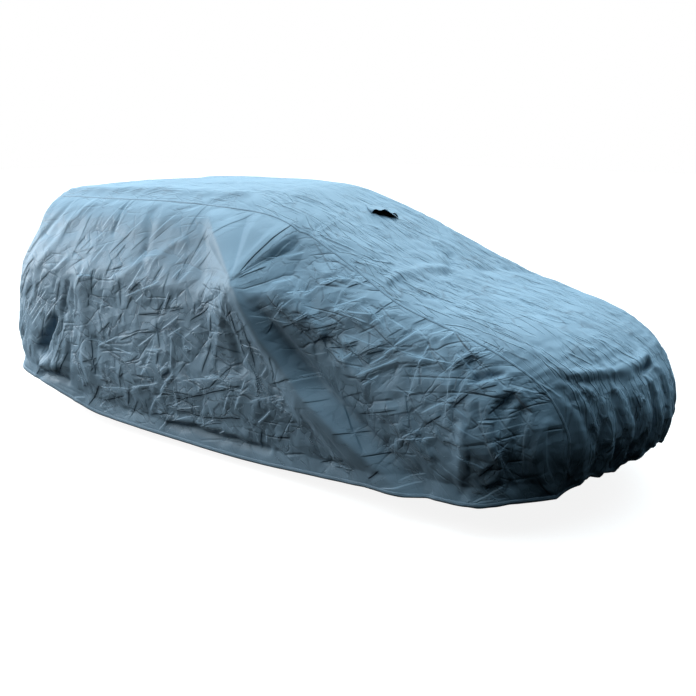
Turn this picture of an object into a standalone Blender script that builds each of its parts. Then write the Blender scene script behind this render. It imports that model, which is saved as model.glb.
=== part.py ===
"""Fitted weather cover in its draped shape: a long centre panel, two side panels and a vent hood.

Metres, +Z up, +X towards the front, +Y to the left. The tables give heights above the ground. The
finished model is lowered so that its origin is the underside of the cloth at the top, where the cover rests.
"""
import math

import bpy
import numpy as np
from mathutils import Vector
from mathutils.bvhtree import BVHTree

# ---------------------------------------------------------------- driving sizes
CLOTH = 0.003                 # thickness of a panel
SEAM_GAP = 0.0003             # clear line between two panels at a seam
VENT_CLOTH = 0.002            # thickness of the vent hood
ROWS_UP = 16                  # cells from an end hem up to the upper corner above it
ROWS_ALONG = 56               # cells between the two upper corners, over the top
COLUMNS_ACROSS = 16           # cells across the centre panel
TURN_CENTRE = -0.90           # height, under the top, of the middle that turns are taken about
CURVE_STEPS = 12              # points between two rows of a table, when it is drawn as a smooth curve

# The centre line from the rear hem over the roof to the front hem, and the half width of the centre panel.
CENTRE_LINE = np.array([
    # x, height, seam half width
    (-2.24, 0.34, 0.60),
    (-2.31, 0.51, 0.62),
    (-2.31, 0.70, 0.63),
    (-2.25, 0.96, 0.61),
    (-2.12, 1.23, 0.56),
    (-1.98, 1.43, 0.50),      # upper rear corner
    (-1.75, 1.48, 0.52),
    (-1.30, 1.52, 0.56),
    (-0.60, 1.55, 0.57),
    (0.00, 1.54, 0.58),
    (0.30, 1.465, 0.56),
    (0.75, 1.29, 0.60),
    (1.15, 1.115, 0.66),
    (1.50, 1.02, 0.67),
    (1.85, 0.935, 0.67),
    (2.11, 0.825, 0.65),      # upper front corner
    (2.245, 0.685, 0.63),
    (2.29, 0.50, 0.60),
    (2.25, 0.33, 0.58),
    (2.18, 0.20, 0.57),
])
REAR_CORNER_ROW = 5
FRONT_CORNER_ROW = 15

# Half width of the whole cover at each height, and how much of it is left at each place along.
WIDTH_BY_HEIGHT = np.array([
    # height, half width
    (0.05, 0.83), (0.25, 0.875), (0.45, 0.892), (0.70, 0.875), (0.92, 0.868),
    (1.02, 0.847), (1.20, 0.762), (1.40, 0.703), (1.60, 0.56),
])
WIDTH_ALONG = np.array([
    # x, share of the width
    (-2.6, 0.90), (-2.2, 0.93), (-1.4, 1.00), (1.0, 0.988), (1.8, 0.985), (2.4, 0.928),
])
NOSE_BOW = 0.374              # how far the nose curves back at NOSE_HALF either side
TAIL_BOW = 0.176
NOSE_HALF = 0.80
ROOF_CROWN = 0.047            # fall of the top from the centre line to NOSE_HALF
EDGE_SOFTNESS = 0.40          # reach of the rounding between the top and the sides

# Points inside the cover from which the centre panel is measured outwards.
REAR_CORE = (-1.50, 0.90)
FRONT_CORE = (1.60, 0.50)

# Lower edges.
SIDE_HEM = np.array([
    # x, height
    (-2.20, 0.28), (-1.90, 0.24), (-1.70, 0.21), (-1.50, 0.17), (-1.30, 0.13), (-1.07, 0.085),
    (-0.70, 0.07), (-0.15, 0.06), (0.25, 0.06), (0.63, 0.08), (0.97, 0.10), (1.28, 0.135),
    (1.54, 0.15), (1.76, 0.16), (1.90, 0.18), (2.10, 0.17),
])
FRONT_HEM = np.array([
    # y, height
    (-0.70, 0.17), (-0.56, 0.175), (-0.48, 0.23), (-0.36, 0.25), (-0.18, 0.26), (-0.03, 0.31),
    (0.20, 0.30), (0.45, 0.26), (0.70, 0.22),
])
REAR_HEM = np.array([
    # y, height
    (-0.70, 0.28), (-0.30, 0.33), (0.05, 0.34), (0.40, 0.32), (0.70, 0.28),
])
FLARE = 0.030                 # how far the loose strip above a side hem stands out
FLARE_HEIGHT = 0.085

# The tent on each side: straight lines of cloth from its tip to where it meets the side.
TENT_TIP = (0.28, 1.075)      # x, height
TENT_OUT = 0.165              # from the side to the tip
TENT_REACH = np.array([
    # direction in degrees, from forwards over upwards; reach
    (-180, 0.34), (-150, 0.34), (-120, 0.46), (-100, 0.40), (-85, 0.44), (-66, 0.46), (-45, 0.60),
    (-30, 0.60), (-14, 0.42), (-5, 0.34), (15, 0.26), (45, 0.21),
    (60, 0.36), (75, 0.37), (90, 0.36), (112, 0.40), (126, 0.33), (136, 0.46), (148, 0.60),
    (160, 0.42), (180, 0.34),
])

# Main folds. Side folds are placed by x and height, top folds by x and y, end folds by y and height.
# A positive relief is a ridge, a negative one is a trough.
RIGHT_FOLDS = np.array([
    # x, height, to x, to height, relief there, relief at the end, width
    (0.42, 0.93, 1.45, 0.16, 0.085, 0.020, 0.085),      # long ridge from the tent down to the hem
    (0.62, 0.92, 1.56, 0.26, 0.050, 0.016, 0.070),      # its upper neighbour
    (0.52, 0.86, 1.30, 0.30, -0.026, -0.039, 0.045),    # the valley between them
    (-1.52, 0.64, -1.70, 0.34, -0.063, -0.033, 0.050),     # deep pocket at the rear quarter
    (-1.66, 0.29, -1.44, 0.33, 0.044, 0.023, 0.060),      # flap below that pocket
    (-1.21, 0.92, -1.38, 0.38, -0.051, -0.026, 0.050),
    (-1.12, 0.92, -1.10, 0.18, 0.033, 0.017, 0.060),
    (-1.00, 0.62, -0.98, 0.30, -0.044, -0.023, 0.050),
    (-1.03, 0.86, -1.22, 0.22, -0.030, -0.016, 0.050),
    (-1.92, 0.92, -1.40, 0.92, -0.018, -0.009, 0.050),
    (-1.62, 1.36, -1.86, 0.98, -0.021, -0.010, 0.050),
    (-1.36, 1.38, -1.66, 1.00, 0.018, 0.009, 0.055),
    (-1.02, 1.40, -1.00, 1.24, -0.018, -0.009, 0.050),
    (-0.70, 1.36, -0.60, 1.08, -0.021, -0.010, 0.055),
    (-0.36, 1.24, -0.86, 0.96, 0.021, 0.010, 0.050),
    (-0.30, 0.90, -0.88, 0.78, -0.023, -0.013, 0.055),
    (-0.85, 0.62, -0.28, 0.72, 0.021, 0.010, 0.055),
    (-0.46, 0.66, -0.40, 0.34, -0.030, -0.016, 0.050),
    (-1.10, 0.29, -0.42, 0.36, 0.023, 0.013, 0.050),
    (-0.42, 0.30, 0.24, 0.46, 0.023, 0.013, 0.050),
    (-0.45, 0.19, 0.20, 0.19, 0.027, 0.014, 0.050),
    (0.26, 0.72, 0.30, 0.36, -0.030, -0.016, 0.050),
    (0.52, 0.54, 0.40, 0.40, -0.042, -0.022, 0.050),
    (0.62, 0.20, 1.10, 0.20, -0.030, -0.016, 0.055),
    (0.36, 1.17, 0.62, 1.24, -0.033, -0.017, 0.050),
    (0.48, 1.00, 0.86, 1.12, -0.036, -0.018, 0.050),
    (0.80, 0.92, 1.10, 0.98, 0.023, 0.013, 0.050),
    (1.14, 0.70, 1.38, 0.96, -0.036, -0.018, 0.050),
    (1.58, 0.80, 1.56, 0.46, -0.033, -0.017, 0.050),
    (1.70, 0.52, 1.66, 0.26, 0.027, 0.014, 0.055),
    (1.44, 0.94, 1.74, 0.76, 0.030, 0.016, 0.050),
    (1.76, 0.66, 1.95, 0.62, -0.052, -0.027, 0.055),       # pocket at the front corner
    (1.80, 0.74, 1.99, 0.66, 0.033, 0.017, 0.050),
])
LEFT_FOLDS = np.array([
    # x, height, to x, to height, relief there, relief at the end, width
    (0.42, 0.92, 1.38, 0.18, 0.080, 0.018, 0.090),      # long ridge from the tent down to the hem
    (0.64, 0.94, 1.52, 0.34, 0.052, 0.018, 0.070),
    (-1.55, 0.60, -1.72, 0.32, -0.044, -0.023, 0.055),
    (-1.22, 0.90, -1.34, 0.30, -0.039, -0.021, 0.050),
    (-1.06, 0.92, -1.06, 0.20, 0.030, 0.016, 0.060),
    (-1.85, 0.93, -1.20, 0.94, -0.018, -0.009, 0.050),
    (-1.40, 1.38, -1.72, 1.00, 0.018, 0.009, 0.055),
    (-0.80, 1.36, -0.66, 1.06, -0.021, -0.010, 0.055),
    (-0.25, 0.86, -0.90, 0.74, -0.023, -0.013, 0.055),
    (-0.80, 0.52, -0.20, 0.64, 0.021, 0.010, 0.055),
    (-1.00, 0.26, -0.30, 0.30, 0.023, 0.013, 0.050),
    (-0.20, 0.32, 0.40, 0.44, 0.021, 0.010, 0.050),
    (0.22, 0.74, 0.26, 0.34, -0.027, -0.014, 0.050),
    (0.66, 0.22, 1.16, 0.20, -0.027, -0.014, 0.055),
    (0.50, 1.02, 0.90, 1.12, -0.033, -0.017, 0.050),
    (1.16, 0.66, 1.42, 0.92, -0.033, -0.017, 0.050),
    (1.60, 0.78, 1.58, 0.44, -0.030, -0.016, 0.050),
    (1.46, 0.94, 1.76, 0.78, 0.027, 0.014, 0.050),
])
TOP_FOLDS = np.array([
    # x, y, to x, to y, relief there, relief at the end, width
    (-1.80, -0.45, -0.15, -0.46, 0.027, 0.014, 0.050),    # long ridge on the right of the top
    (-1.80, 0.45, -0.15, 0.46, 0.027, 0.014, 0.050),      # long ridge on the left of the top
    (-1.95, -0.42, -1.95, 0.42, 0.018, 0.009, 0.060),     # upper rear edge
    (0.10, -0.44, 0.52, -0.50, 0.021, 0.010, 0.050),
    (0.34, -0.40, 0.92, -0.58, -0.018, -0.009, 0.060),
    (0.10, 0.44, 0.86, 0.58, -0.018, -0.009, 0.060),
    (1.06, -0.50, 1.10, 0.46, -0.018, -0.009, 0.090),      # dip at the foot of the front slope
    (1.18, -0.30, 1.95, -0.34, 0.014, 0.008, 0.070),
    (1.20, 0.26, 1.96, 0.30, 0.014, 0.008, 0.070),
    (-1.10, 0.20, -0.40, 0.05, 0.012, 0.007, 0.080),
])
FRONT_FOLDS = np.array([
    # y, height, to y, to height, relief there, relief at the end, width
    (-0.60, 0.72, -0.36, 0.40, 0.030, 0.016, 0.050),
    (-0.50, 0.50, -0.46, 0.22, -0.033, -0.017, 0.050),
    (-0.30, 0.70, -0.28, 0.25, 0.027, 0.014, 0.050),
    (-0.14, 0.66, -0.14, 0.26, -0.030, -0.016, 0.050),
    (0.04, 0.72, 0.06, 0.28, 0.027, 0.014, 0.050),
    (0.22, 0.68, 0.24, 0.28, -0.030, -0.016, 0.050),
    (0.42, 0.70, 0.44, 0.25, 0.027, 0.014, 0.050),
    (-0.34, 0.80, 0.22, 0.80, 0.023, 0.013, 0.050),       # upper front edge
])
REAR_FOLDS = np.array([
    # y, height, to y, to height, relief there, relief at the end, width
    (-0.52, 0.86, -0.40, 0.34, -0.030, -0.016, 0.055),
    (-0.26, 0.80, -0.22, 0.34, 0.027, 0.014, 0.055),
    (0.02, 0.74, 0.00, 0.34, -0.030, -0.016, 0.055),
    (0.26, 0.82, 0.24, 0.34, 0.027, 0.014, 0.055),
    (0.50, 0.86, 0.42, 0.34, -0.030, -0.016, 0.055),
    (-0.46, 0.98, 0.46, 0.98, -0.018, -0.009, 0.060),
])

# Short folds all over, between the main ones.
PUCKER_LENGTH = 0.22
PUCKER_WIDTH = 0.055
LEFT_VARIES = (-1, 1, -1, 1, 1, 1, 1)       # the left side's short folds are those of the right, front to rear
SIDE_PUCKERS = (90, (-1.95, 0.12), (1.95, 1.35), (60, 85), 0.013)      # count, corner, corner, turn, relief
TOP_PUCKERS = (60, (-1.9, -0.55), (2.0, 0.55), (0, 35), 0.006)
END_PUCKERS = (26, (-0.6, 0.25), (0.6, 0.95), (90, 25), 0.012)
GOLDEN = (math.sqrt(5) - 1) / 2
PLASTIC = 1.3247179572

# The hooded vent on the front slope.
VENT_FRONT = 0.575            # x of its open lip
VENT_LENGTH = 0.15
VENT_HALF = 0.11
VENT_TAPER = 0.55             # share of the half width lost at the closed end
VENT_RISE = 0.045
VENT_SEAT = 0.0006            # clear height over the panel
VENT_COLUMNS = 12
VENT_ROWS = 8

PANEL_COLOUR = (0.23, 0.34, 0.44, 1.0)
VENT_COLOUR = (0.18, 0.28, 0.37, 1.0)
CLOTH_ROUGHNESS = 0.55


# ---------------------------------------------------------------- form of the cover
def smooth_curve(rows):
    """Catmull-Rom curve through the rows of a table, CURVE_STEPS points for each gap."""
    padded = np.vstack([2 * rows[0] - rows[1], rows, 2 * rows[-1] - rows[-2]])
    gaps = len(rows) - 1
    along = np.linspace(0, gaps, CURVE_STEPS * gaps + 1)
    first = np.minimum(along.astype(int), gaps - 1)
    t = (along - first)[:, None]
    a, b, c, d = padded[first], padded[first + 1], padded[first + 2], padded[first + 3]
    return 0.5 * (2 * b + (c - a) * t + (2 * a - 5 * b + 4 * c - d) * t**2 + (3 * b - a - 3 * c + d) * t**3)


CENTRE_CURVE = smooth_curve(CENTRE_LINE)
WIDTH_CURVE = smooth_curve(WIDTH_BY_HEIGHT)
ALONG_CURVE = smooth_curve(WIDTH_ALONG)
BELOW_GROUND = -1.0
OUTLINE = np.vstack([
    CENTRE_CURVE[::3, :2],
    (CENTRE_CURVE[-1, 0], BELOW_GROUND),
    (CENTRE_CURVE[0, 0], BELOW_GROUND),
])


def outline_distance(x, z):
    """Distance to the side view's outline, negative inside it."""
    nearest = np.full(x.shape, np.inf)
    inside = np.zeros(x.shape, bool)
    for (ax, az), (bx, bz) in zip(OUTLINE, np.roll(OUTLINE, -1, axis=0)):
        ex, ez = bx - ax, bz - az
        t = np.clip(((x - ax) * ex + (z - az) * ez) / (ex * ex + ez * ez), 0, 1)
        nearest = np.minimum(nearest, (x - ax - t * ex) ** 2 + (z - az - t * ez) ** 2)
        if az != bz:
            crosses = (az > z) != (bz > z)
            inside ^= crosses & (x < ax + (z - az) * ex / ez)
    return np.where(inside, -1, 1) * np.sqrt(nearest)


def cover_distance(p):
    """Rough distance to the cover, negative inside: the side view and the width, softly joined."""
    x, y, z = p[..., 0], p[..., 1], p[..., 2]
    across = (y / NOSE_HALF) ** 2
    nose = NOSE_BOW * np.clip((x - 0.6) / 1.6, 0, 1) ** 2
    tail = TAIL_BOW * np.clip((-x - 1.2) / 1.0, 0, 1) ** 2
    side_view = outline_distance(x + (nose - tail) * across, z + ROOF_CROWN * across)
    half = np.interp(z, *WIDTH_CURVE.T) * np.interp(x, *ALONG_CURVE.T)
    from_side = np.abs(y) - half
    overlap = np.maximum(EDGE_SOFTNESS - np.abs(side_view - from_side), 0)
    return np.maximum(side_view, from_side) + overlap**2 / (4 * EDGE_SOFTNESS)


def onto_cover(start, direction, nearest, furthest):
    """The points where lines from inside leave the cover, found by halving."""
    low = np.full(start.shape[:-1], nearest)
    high = np.full(start.shape[:-1], furthest)
    for _ in range(34):
        middle = (low + high) / 2
        inside = cover_distance(start + middle[..., None] * direction) < 0
        low = np.where(inside, middle, low)
        high = np.where(inside, high, middle)
    return start + low[..., None] * direction


def outward(p):
    """Unit normals of the smooth cover, from the slope of cover_distance."""
    step = 0.004
    slope = np.stack([
        cover_distance(p + step * axis) - cover_distance(p - step * axis) for axis in np.eye(3)
    ], axis=-1)
    return slope / np.linalg.norm(slope, axis=-1, keepdims=True)


def evenly(curve, cells):
    """Points at equal distances along a curve."""
    lengths = np.linalg.norm(np.diff(curve[:, :2], axis=0), axis=1)
    along = np.concatenate([[0], np.cumsum(lengths)])
    wanted = np.linspace(0, along[-1], cells + 1)
    return np.stack([np.interp(wanted, along, column) for column in curve.T], axis=1)


def centre_grid():
    """Points of the centre panel, from the rear hem to the front hem, and from right to left."""
    rear, front = REAR_CORNER_ROW * CURVE_STEPS, FRONT_CORNER_ROW * CURVE_STEPS
    stations = np.vstack([
        evenly(CENTRE_CURVE[:rear + 1], ROWS_UP)[:-1],
        evenly(CENTRE_CURVE[rear:front + 1], ROWS_ALONG)[:-1],
        evenly(CENTRE_CURVE[front:], ROWS_UP),
    ])
    across = np.linspace(-1, 1, COLUMNS_ACROSS + 1)
    y = stations[:, 2:] * across
    x = np.broadcast_to(stations[:, :1], y.shape).copy()
    z = np.broadcast_to(stations[:, 1:2], y.shape).copy()
    row = np.arange(len(stations))[:, None]
    at_rear = np.clip(1 - row / ROWS_UP, 0, 1) ** 2
    at_front = np.clip(1 - (len(stations) - 1 - row) / ROWS_UP, 0, 1) ** 2
    z += at_rear * (np.interp(y, *smooth_curve(REAR_HEM).T) - CENTRE_LINE[0, 1])
    z += at_front * (np.interp(y, *smooth_curve(FRONT_HEM).T) - CENTRE_LINE[-1, 1])
    core_x = np.clip(x, REAR_CORE[0], FRONT_CORE[0])
    core_z = np.minimum(z, np.where(x < 0, REAR_CORE[1], FRONT_CORE[1]))
    start = np.stack([core_x, y, core_z], axis=-1)
    direction = np.stack([x - core_x, np.zeros_like(x), z - core_z], axis=-1)
    direction /= np.linalg.norm(direction, axis=-1, keepdims=True)
    return onto_cover(start, direction, 0.02, 1.3)


def side_grid(seam, side):
    """Points of a side panel between its hem and the seam, rear to front and hem to seam.

    The side view is filled in between its four edges, and each point is then found on the cover's side.
    """
    left = seam[:ROWS_UP + 1, [0, 2]]
    top = seam[ROWS_UP:-ROWS_UP, [0, 2]]
    right = seam[-ROWS_UP - 1:, [0, 2]][::-1]
    share = np.linspace(0, 1, ROWS_ALONG + 1)
    hem_x = left[0, 0] + (right[0, 0] - left[0, 0]) * share
    hem_z = np.interp(hem_x, *smooth_curve(SIDE_HEM).T)
    hem_z += (left[0, 1] - hem_z[0]) * (1 - share) ** 8 + (right[0, 1] - hem_z[-1]) * share**8
    bottom = np.stack([hem_x, hem_z], axis=-1)
    u = share[:, None, None]
    v = np.linspace(0, 1, ROWS_UP + 1)[None, :, None]
    along = (1 - v) * bottom[:, None] + v * top[:, None]
    up = (1 - u) * left[None] + u * right[None]
    corners = ((1 - u) * ((1 - v) * left[0] + v * left[-1]) + u * ((1 - v) * right[0] + v * right[-1]))
    flat = along + up - corners
    start = np.stack([flat[..., 0], np.full(flat.shape[:2], side * 0.15), flat[..., 1]], axis=-1)
    direction = np.broadcast_to(np.array([0.0, side, 0.0]), start.shape)
    grid = onto_cover(start, direction, 0.0, 1.1)
    grid[0] = seam[:ROWS_UP + 1]
    grid[:, -1] = seam[ROWS_UP:-ROWS_UP]
    grid[-1] = seam[-ROWS_UP - 1:][::-1]
    return grid


# ---------------------------------------------------------------- folds
def fold_relief(a, b, folds):
    """Sum of soft ridges and troughs: a bell around each line, from one relief to the other along it."""
    total = np.zeros(a.shape)
    for a0, b0, a1, b1, relief, end_relief, width in folds:
        da, db = a1 - a0, b1 - b0
        t = np.clip(((a - a0) * da + (b - b0) * db) / (da * da + db * db), 0, 1)
        off = np.hypot(a - a0 - t * da, b - b0 - t * db)
        total += (relief + (end_relief - relief) * t) * np.exp(-((off / width) ** 2))
    return total


def puckers(count, low, high, turn, relief):
    """Rows of short folds, spread evenly over a rectangle by the plastic number, alternately up and down.

    Fold i points turn[0] degrees plus or minus turn[1], and is PUCKER_LENGTH long or up to twice that.
    """
    i = np.arange(1, count + 1)
    centre = np.stack([low[0] + (high[0] - low[0]) * (i / PLASTIC % 1),
                       low[1] + (high[1] - low[1]) * (i / PLASTIC**2 % 1)], axis=1)
    angle = np.radians(turn[0] + turn[1] * (2 * (i * GOLDEN % 1) - 1))
    half = PUCKER_LENGTH * (1 + i * GOLDEN**2 * 5 % 1) / 2
    arm = half[:, None] * np.stack([np.cos(angle), np.sin(angle)], axis=1)
    height = relief * np.where(i % 2, 1, -1) * (0.6 + 0.8 * (i * PLASTIC % 1))
    return np.column_stack([centre - arm, centre + arm, height, height * 0.5, np.full(count, PUCKER_WIDTH)])


def tent_share(x, z):
    """1 at the tent's tip, falling in straight lines to 0 at the reach in each direction."""
    dx, dz = x - TENT_TIP[0], z - TENT_TIP[1]
    reach = np.interp(np.degrees(np.arctan2(dz, dx)), *TENT_REACH.T)
    return np.clip(1 - np.hypot(dx, dz) / reach, 0, 1)


def folded(p):
    """The smooth cover's points with folds, side tents and flared hem strips, and the smooth normals."""
    x, y, z = p[..., 0], p[..., 1], p[..., 2]
    normal = outward(p)
    facing = np.clip((np.abs(normal) - 0.35) / 0.35, 0, 1)
    on_end, on_side, on_top = facing[..., 0], facing[..., 1], facing[..., 2]
    hem = np.interp(x, *smooth_curve(SIDE_HEM).T)
    side = puckers(*SIDE_PUCKERS)
    top = puckers(*TOP_PUCKERS)
    end = puckers(*END_PUCKERS)
    right = fold_relief(x, z, np.vstack([RIGHT_FOLDS, side]))
    left = fold_relief(x, z, np.vstack([LEFT_FOLDS, side * LEFT_VARIES]))
    front = fold_relief(y, z, np.vstack([FRONT_FOLDS, end]))
    rear = fold_relief(-y, z, np.vstack([REAR_FOLDS, end]))
    relief = on_side * np.where(y < 0, right, left)
    relief += on_top * fold_relief(x, y, np.vstack([TOP_FOLDS, top]))
    relief += on_end * np.where(x > 0, front, rear)
    relief += on_side * FLARE * np.clip(1 - (z - hem) / FLARE_HEIGHT, 0, 1)
    tent = TENT_OUT * tent_share(x, z) * np.clip((np.abs(y) - 0.45) / 0.2, 0, 1)
    moved = p + relief[..., None] * normal
    moved[..., 1] += np.sign(y) * tent
    moved[..., 2] += 0.1 * tent
    return moved, normal


# ---------------------------------------------------------------- solids
def grid_normals(p):
    """Unit normals of a grid of points, from the differences of its neighbours."""
    normal = np.cross(np.gradient(p, axis=0), np.gradient(p, axis=1))
    return normal / np.linalg.norm(normal, axis=-1, keepdims=True)


def facing_out(grid, smooth_normal):
    """Grid normals that point out of the cover, as smooth_normal does."""
    normal = grid_normals(grid)
    return normal * np.sign(np.sum(normal * smooth_normal, axis=-1, keepdims=True))


def sheet_solid(outer, inner):
    """Vertices and triangles of a closed sheet between two grids, with the same diagonals on both.

    The diagonals of its rim follow the turn about the cover's middle, so that they match across a seam.
    """
    rows, columns = outer.shape[:2]
    number = np.arange(rows * columns).reshape(rows, columns)
    a, b, c, d = number[:-1, :-1], number[1:, :-1], number[1:, 1:], number[:-1, 1:]
    even = (np.add.outer(np.arange(rows - 1), np.arange(columns - 1)) % 2 == 0)[..., None]
    first = np.where(even, np.stack([a, b, c], -1), np.stack([a, b, d], -1)).reshape(-1, 3)
    second = np.where(even, np.stack([a, c, d], -1), np.stack([b, c, d], -1)).reshape(-1, 3)
    face = np.vstack([first, second])
    count = rows * columns
    rim = np.concatenate([number[:, 0], number[-1, 1:], number[-2::-1, -1], number[0, -2:0:-1]])
    ahead = np.roll(rim, -1)
    points = np.vstack([outer.reshape(-1, 3), inner.reshape(-1, 3)])
    turn = np.arctan2(points[:, 2] - TURN_CENTRE, points[:, 0])
    forwards = (turn[ahead] < turn[rim])[:, None]
    wall = np.vstack([
        np.where(forwards, np.stack([ahead, rim, rim + count], -1), np.stack([ahead, rim, ahead + count], -1)),
        np.where(forwards, np.stack([ahead, rim + count, ahead + count], -1),
                 np.stack([rim, rim + count, ahead + count], -1)),
    ])
    return points, np.vstack([face, face[:, ::-1] + count, wall])


def signed_volume(points, faces):
    """Volume inside a closed mesh, negative where its faces point inwards."""
    a, b, c = points[faces[:, 0]], points[faces[:, 1]], points[faces[:, 2]]
    return np.sum(np.einsum("ij,ij->i", a, np.cross(b, c))) / 6


def cloth_material(name, colour):
    """Dull coated cloth in one colour."""
    material = bpy.data.materials.new(name)
    material.use_nodes = True
    shader = material.node_tree.nodes["Principled BSDF"]
    shader.inputs["Base Color"].default_value = colour
    shader.inputs["Roughness"].default_value = CLOTH_ROUGHNESS
    shader.inputs["Metallic"].default_value = 0.0
    return material


def add_object(name, points, faces, colour):
    """A mesh object with its faces pointing out, shaded smooth."""
    if signed_volume(points, faces) < 0:
        faces = faces[:, ::-1]
    mesh = bpy.data.meshes.new(name)
    mesh.from_pydata(points.tolist(), [], faces.tolist())
    mesh.validate()
    mesh.materials.append(cloth_material(name + "_cloth", colour))
    mesh.shade_smooth()
    mesh.set_sharp_from_angle(angle=math.radians(50))
    thing = bpy.data.objects.new(name, mesh)
    bpy.context.scene.collection.objects.link(thing)
    return thing


def drawn_in(grid, normal, edge):
    """Moves one edge of a grid into its own panel by half a seam gap, square to the seam."""
    line, inside, up = grid[edge[0]], grid[edge[1]], normal[edge[0]]
    run = np.gradient(line, axis=0)
    square = np.cross(up, run)
    square /= np.linalg.norm(square, axis=-1, keepdims=True)
    square *= np.sign(np.sum(square * (inside - line), axis=-1, keepdims=True))
    grid[edge[0]] = line + square * SEAM_GAP / 2


def add_panel(name, grid, normal, seams):
    """A panel's solid: its middle surface, drawn in at its seams, with half the cloth on either side."""
    grid = grid.copy()
    for edge in seams:
        drawn_in(grid, normal, edge)
    half = normal * CLOTH / 2
    return add_object(name, *sheet_solid(grid + half, grid - half), PANEL_COLOUR)


def add_vent(panel):
    """The vent hood: a low scoop open to the front, with its edges lying on the centre panel."""
    tree = BVHTree.FromPolygons([v.co for v in panel.data.vertices],
                                [f.vertices for f in panel.data.polygons])
    across = np.linspace(-1, 1, VENT_COLUMNS + 1)
    back = np.linspace(0, 1, VENT_ROWS + 1)[:, None]
    x = VENT_FRONT - VENT_LENGTH * back + 0 * across
    y = VENT_HALF * (1 - VENT_TAPER * back**2) * across
    rise = VENT_RISE * (1 - across**2) ** 0.8 * (1 - back) ** 0.8
    down = Vector((0, 0, -1))
    seat = np.array([
        [tree.ray_cast(Vector((px, py, 1.0)), down)[0].z for px, py in zip(xs, ys)] for xs, ys in zip(x, y)
    ])
    lower = np.stack([x, y, seat + VENT_SEAT + rise], axis=-1)
    lean = np.array([0.42, 0.0, 0.91])
    return add_object("vent_hood", *sheet_solid(lower + VENT_CLOTH * lean, lower), VENT_COLOUR)


for old in list(bpy.data.objects):
    bpy.data.objects.remove(old, do_unlink=True)

centre = centre_grid()
right = side_grid(centre[:, 0], -1)
left = side_grid(centre[:, -1], 1)
forms = {name: folded(grid) for name, grid in (("centre", centre), ("right", right), ("left", left))}
normals = {name: facing_out(*form) for name, form in forms.items()}

# Along a seam both panels take the same normals, the mean of the two.
for name, column in (("right", 0), ("left", -1)):
    side = normals[name]
    around = np.concatenate([side[0], side[1:-1, -1], side[-1][::-1]])
    shared = around + normals["centre"][:, column]
    shared /= np.linalg.norm(shared, axis=-1, keepdims=True)
    normals["centre"][:, column] = shared
    side[0] = shared[:ROWS_UP + 1]
    side[:, -1] = shared[ROWS_UP:-ROWS_UP]
    side[-1] = shared[-ROWS_UP - 1:][::-1]

# The origin is the underside of the cloth at the top, at x = 0 on the centre line.
middle_column = forms["centre"][0][:, COLUMNS_ACROSS // 2]
roof = np.interp(0.0, middle_column[:, 0], middle_column[:, 2])
drop = np.array([0.0, 0.0, roof - CLOTH / 2])
FIRST_COLUMN = ((slice(None), 0), (slice(None), 1))
LAST_COLUMN = ((slice(None), -1), (slice(None), -2))
FIRST_ROW = ((0,), (1,))
LAST_ROW = ((-1,), (-2,))
panel = add_panel("centre_panel", forms["centre"][0] - drop, normals["centre"], (FIRST_COLUMN, LAST_COLUMN))
add_panel("side_panel_right", forms["right"][0] - drop, normals["right"], (FIRST_ROW, LAST_COLUMN, LAST_ROW))
add_panel("side_panel_left", forms["left"][0] - drop, normals["left"], (FIRST_ROW, LAST_COLUMN, LAST_ROW))
add_vent(panel)
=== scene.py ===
"""Looks of the draped weather cover: three creased cloth panels, their seams and hems, and the vent hood.

Metres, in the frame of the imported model, apart from the folds and creases, which are typed in millimetres.
The tables give heights above the ground, and `drop` brings them down to the frame's origin, which is the
underside of the cloth at the top.
"""
import math

import bpy
import numpy as np
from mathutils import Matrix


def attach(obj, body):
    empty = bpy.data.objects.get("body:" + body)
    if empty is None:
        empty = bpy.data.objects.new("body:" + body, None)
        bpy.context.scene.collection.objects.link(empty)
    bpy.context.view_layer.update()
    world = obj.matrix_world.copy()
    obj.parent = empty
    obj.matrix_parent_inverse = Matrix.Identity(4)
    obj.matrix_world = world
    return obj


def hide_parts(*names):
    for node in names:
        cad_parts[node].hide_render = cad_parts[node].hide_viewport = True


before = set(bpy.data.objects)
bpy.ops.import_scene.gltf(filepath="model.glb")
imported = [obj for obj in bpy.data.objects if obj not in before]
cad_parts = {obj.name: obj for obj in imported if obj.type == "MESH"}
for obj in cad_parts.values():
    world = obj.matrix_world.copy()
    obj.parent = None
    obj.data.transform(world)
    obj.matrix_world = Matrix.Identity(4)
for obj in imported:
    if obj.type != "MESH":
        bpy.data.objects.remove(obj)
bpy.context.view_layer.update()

# ---------------------------------------------------------------- centre panel
# One long strip of coated taffeta from the rear hem over the top to the front hem. It lies in fine wrinkles
# along the top, is gathered by the elastic in both its ends, and still shows how it was packed.
CELLS_UP = 160                # cells from an end hem up to the upper corner above it
CELLS_ALONG = 560             # cells between the two upper corners, over the top
CELLS_ACROSS = 112
COARSE = 4                    # the smooth form is found on every fourth line of cells
CURVE_STEPS = 12

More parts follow.
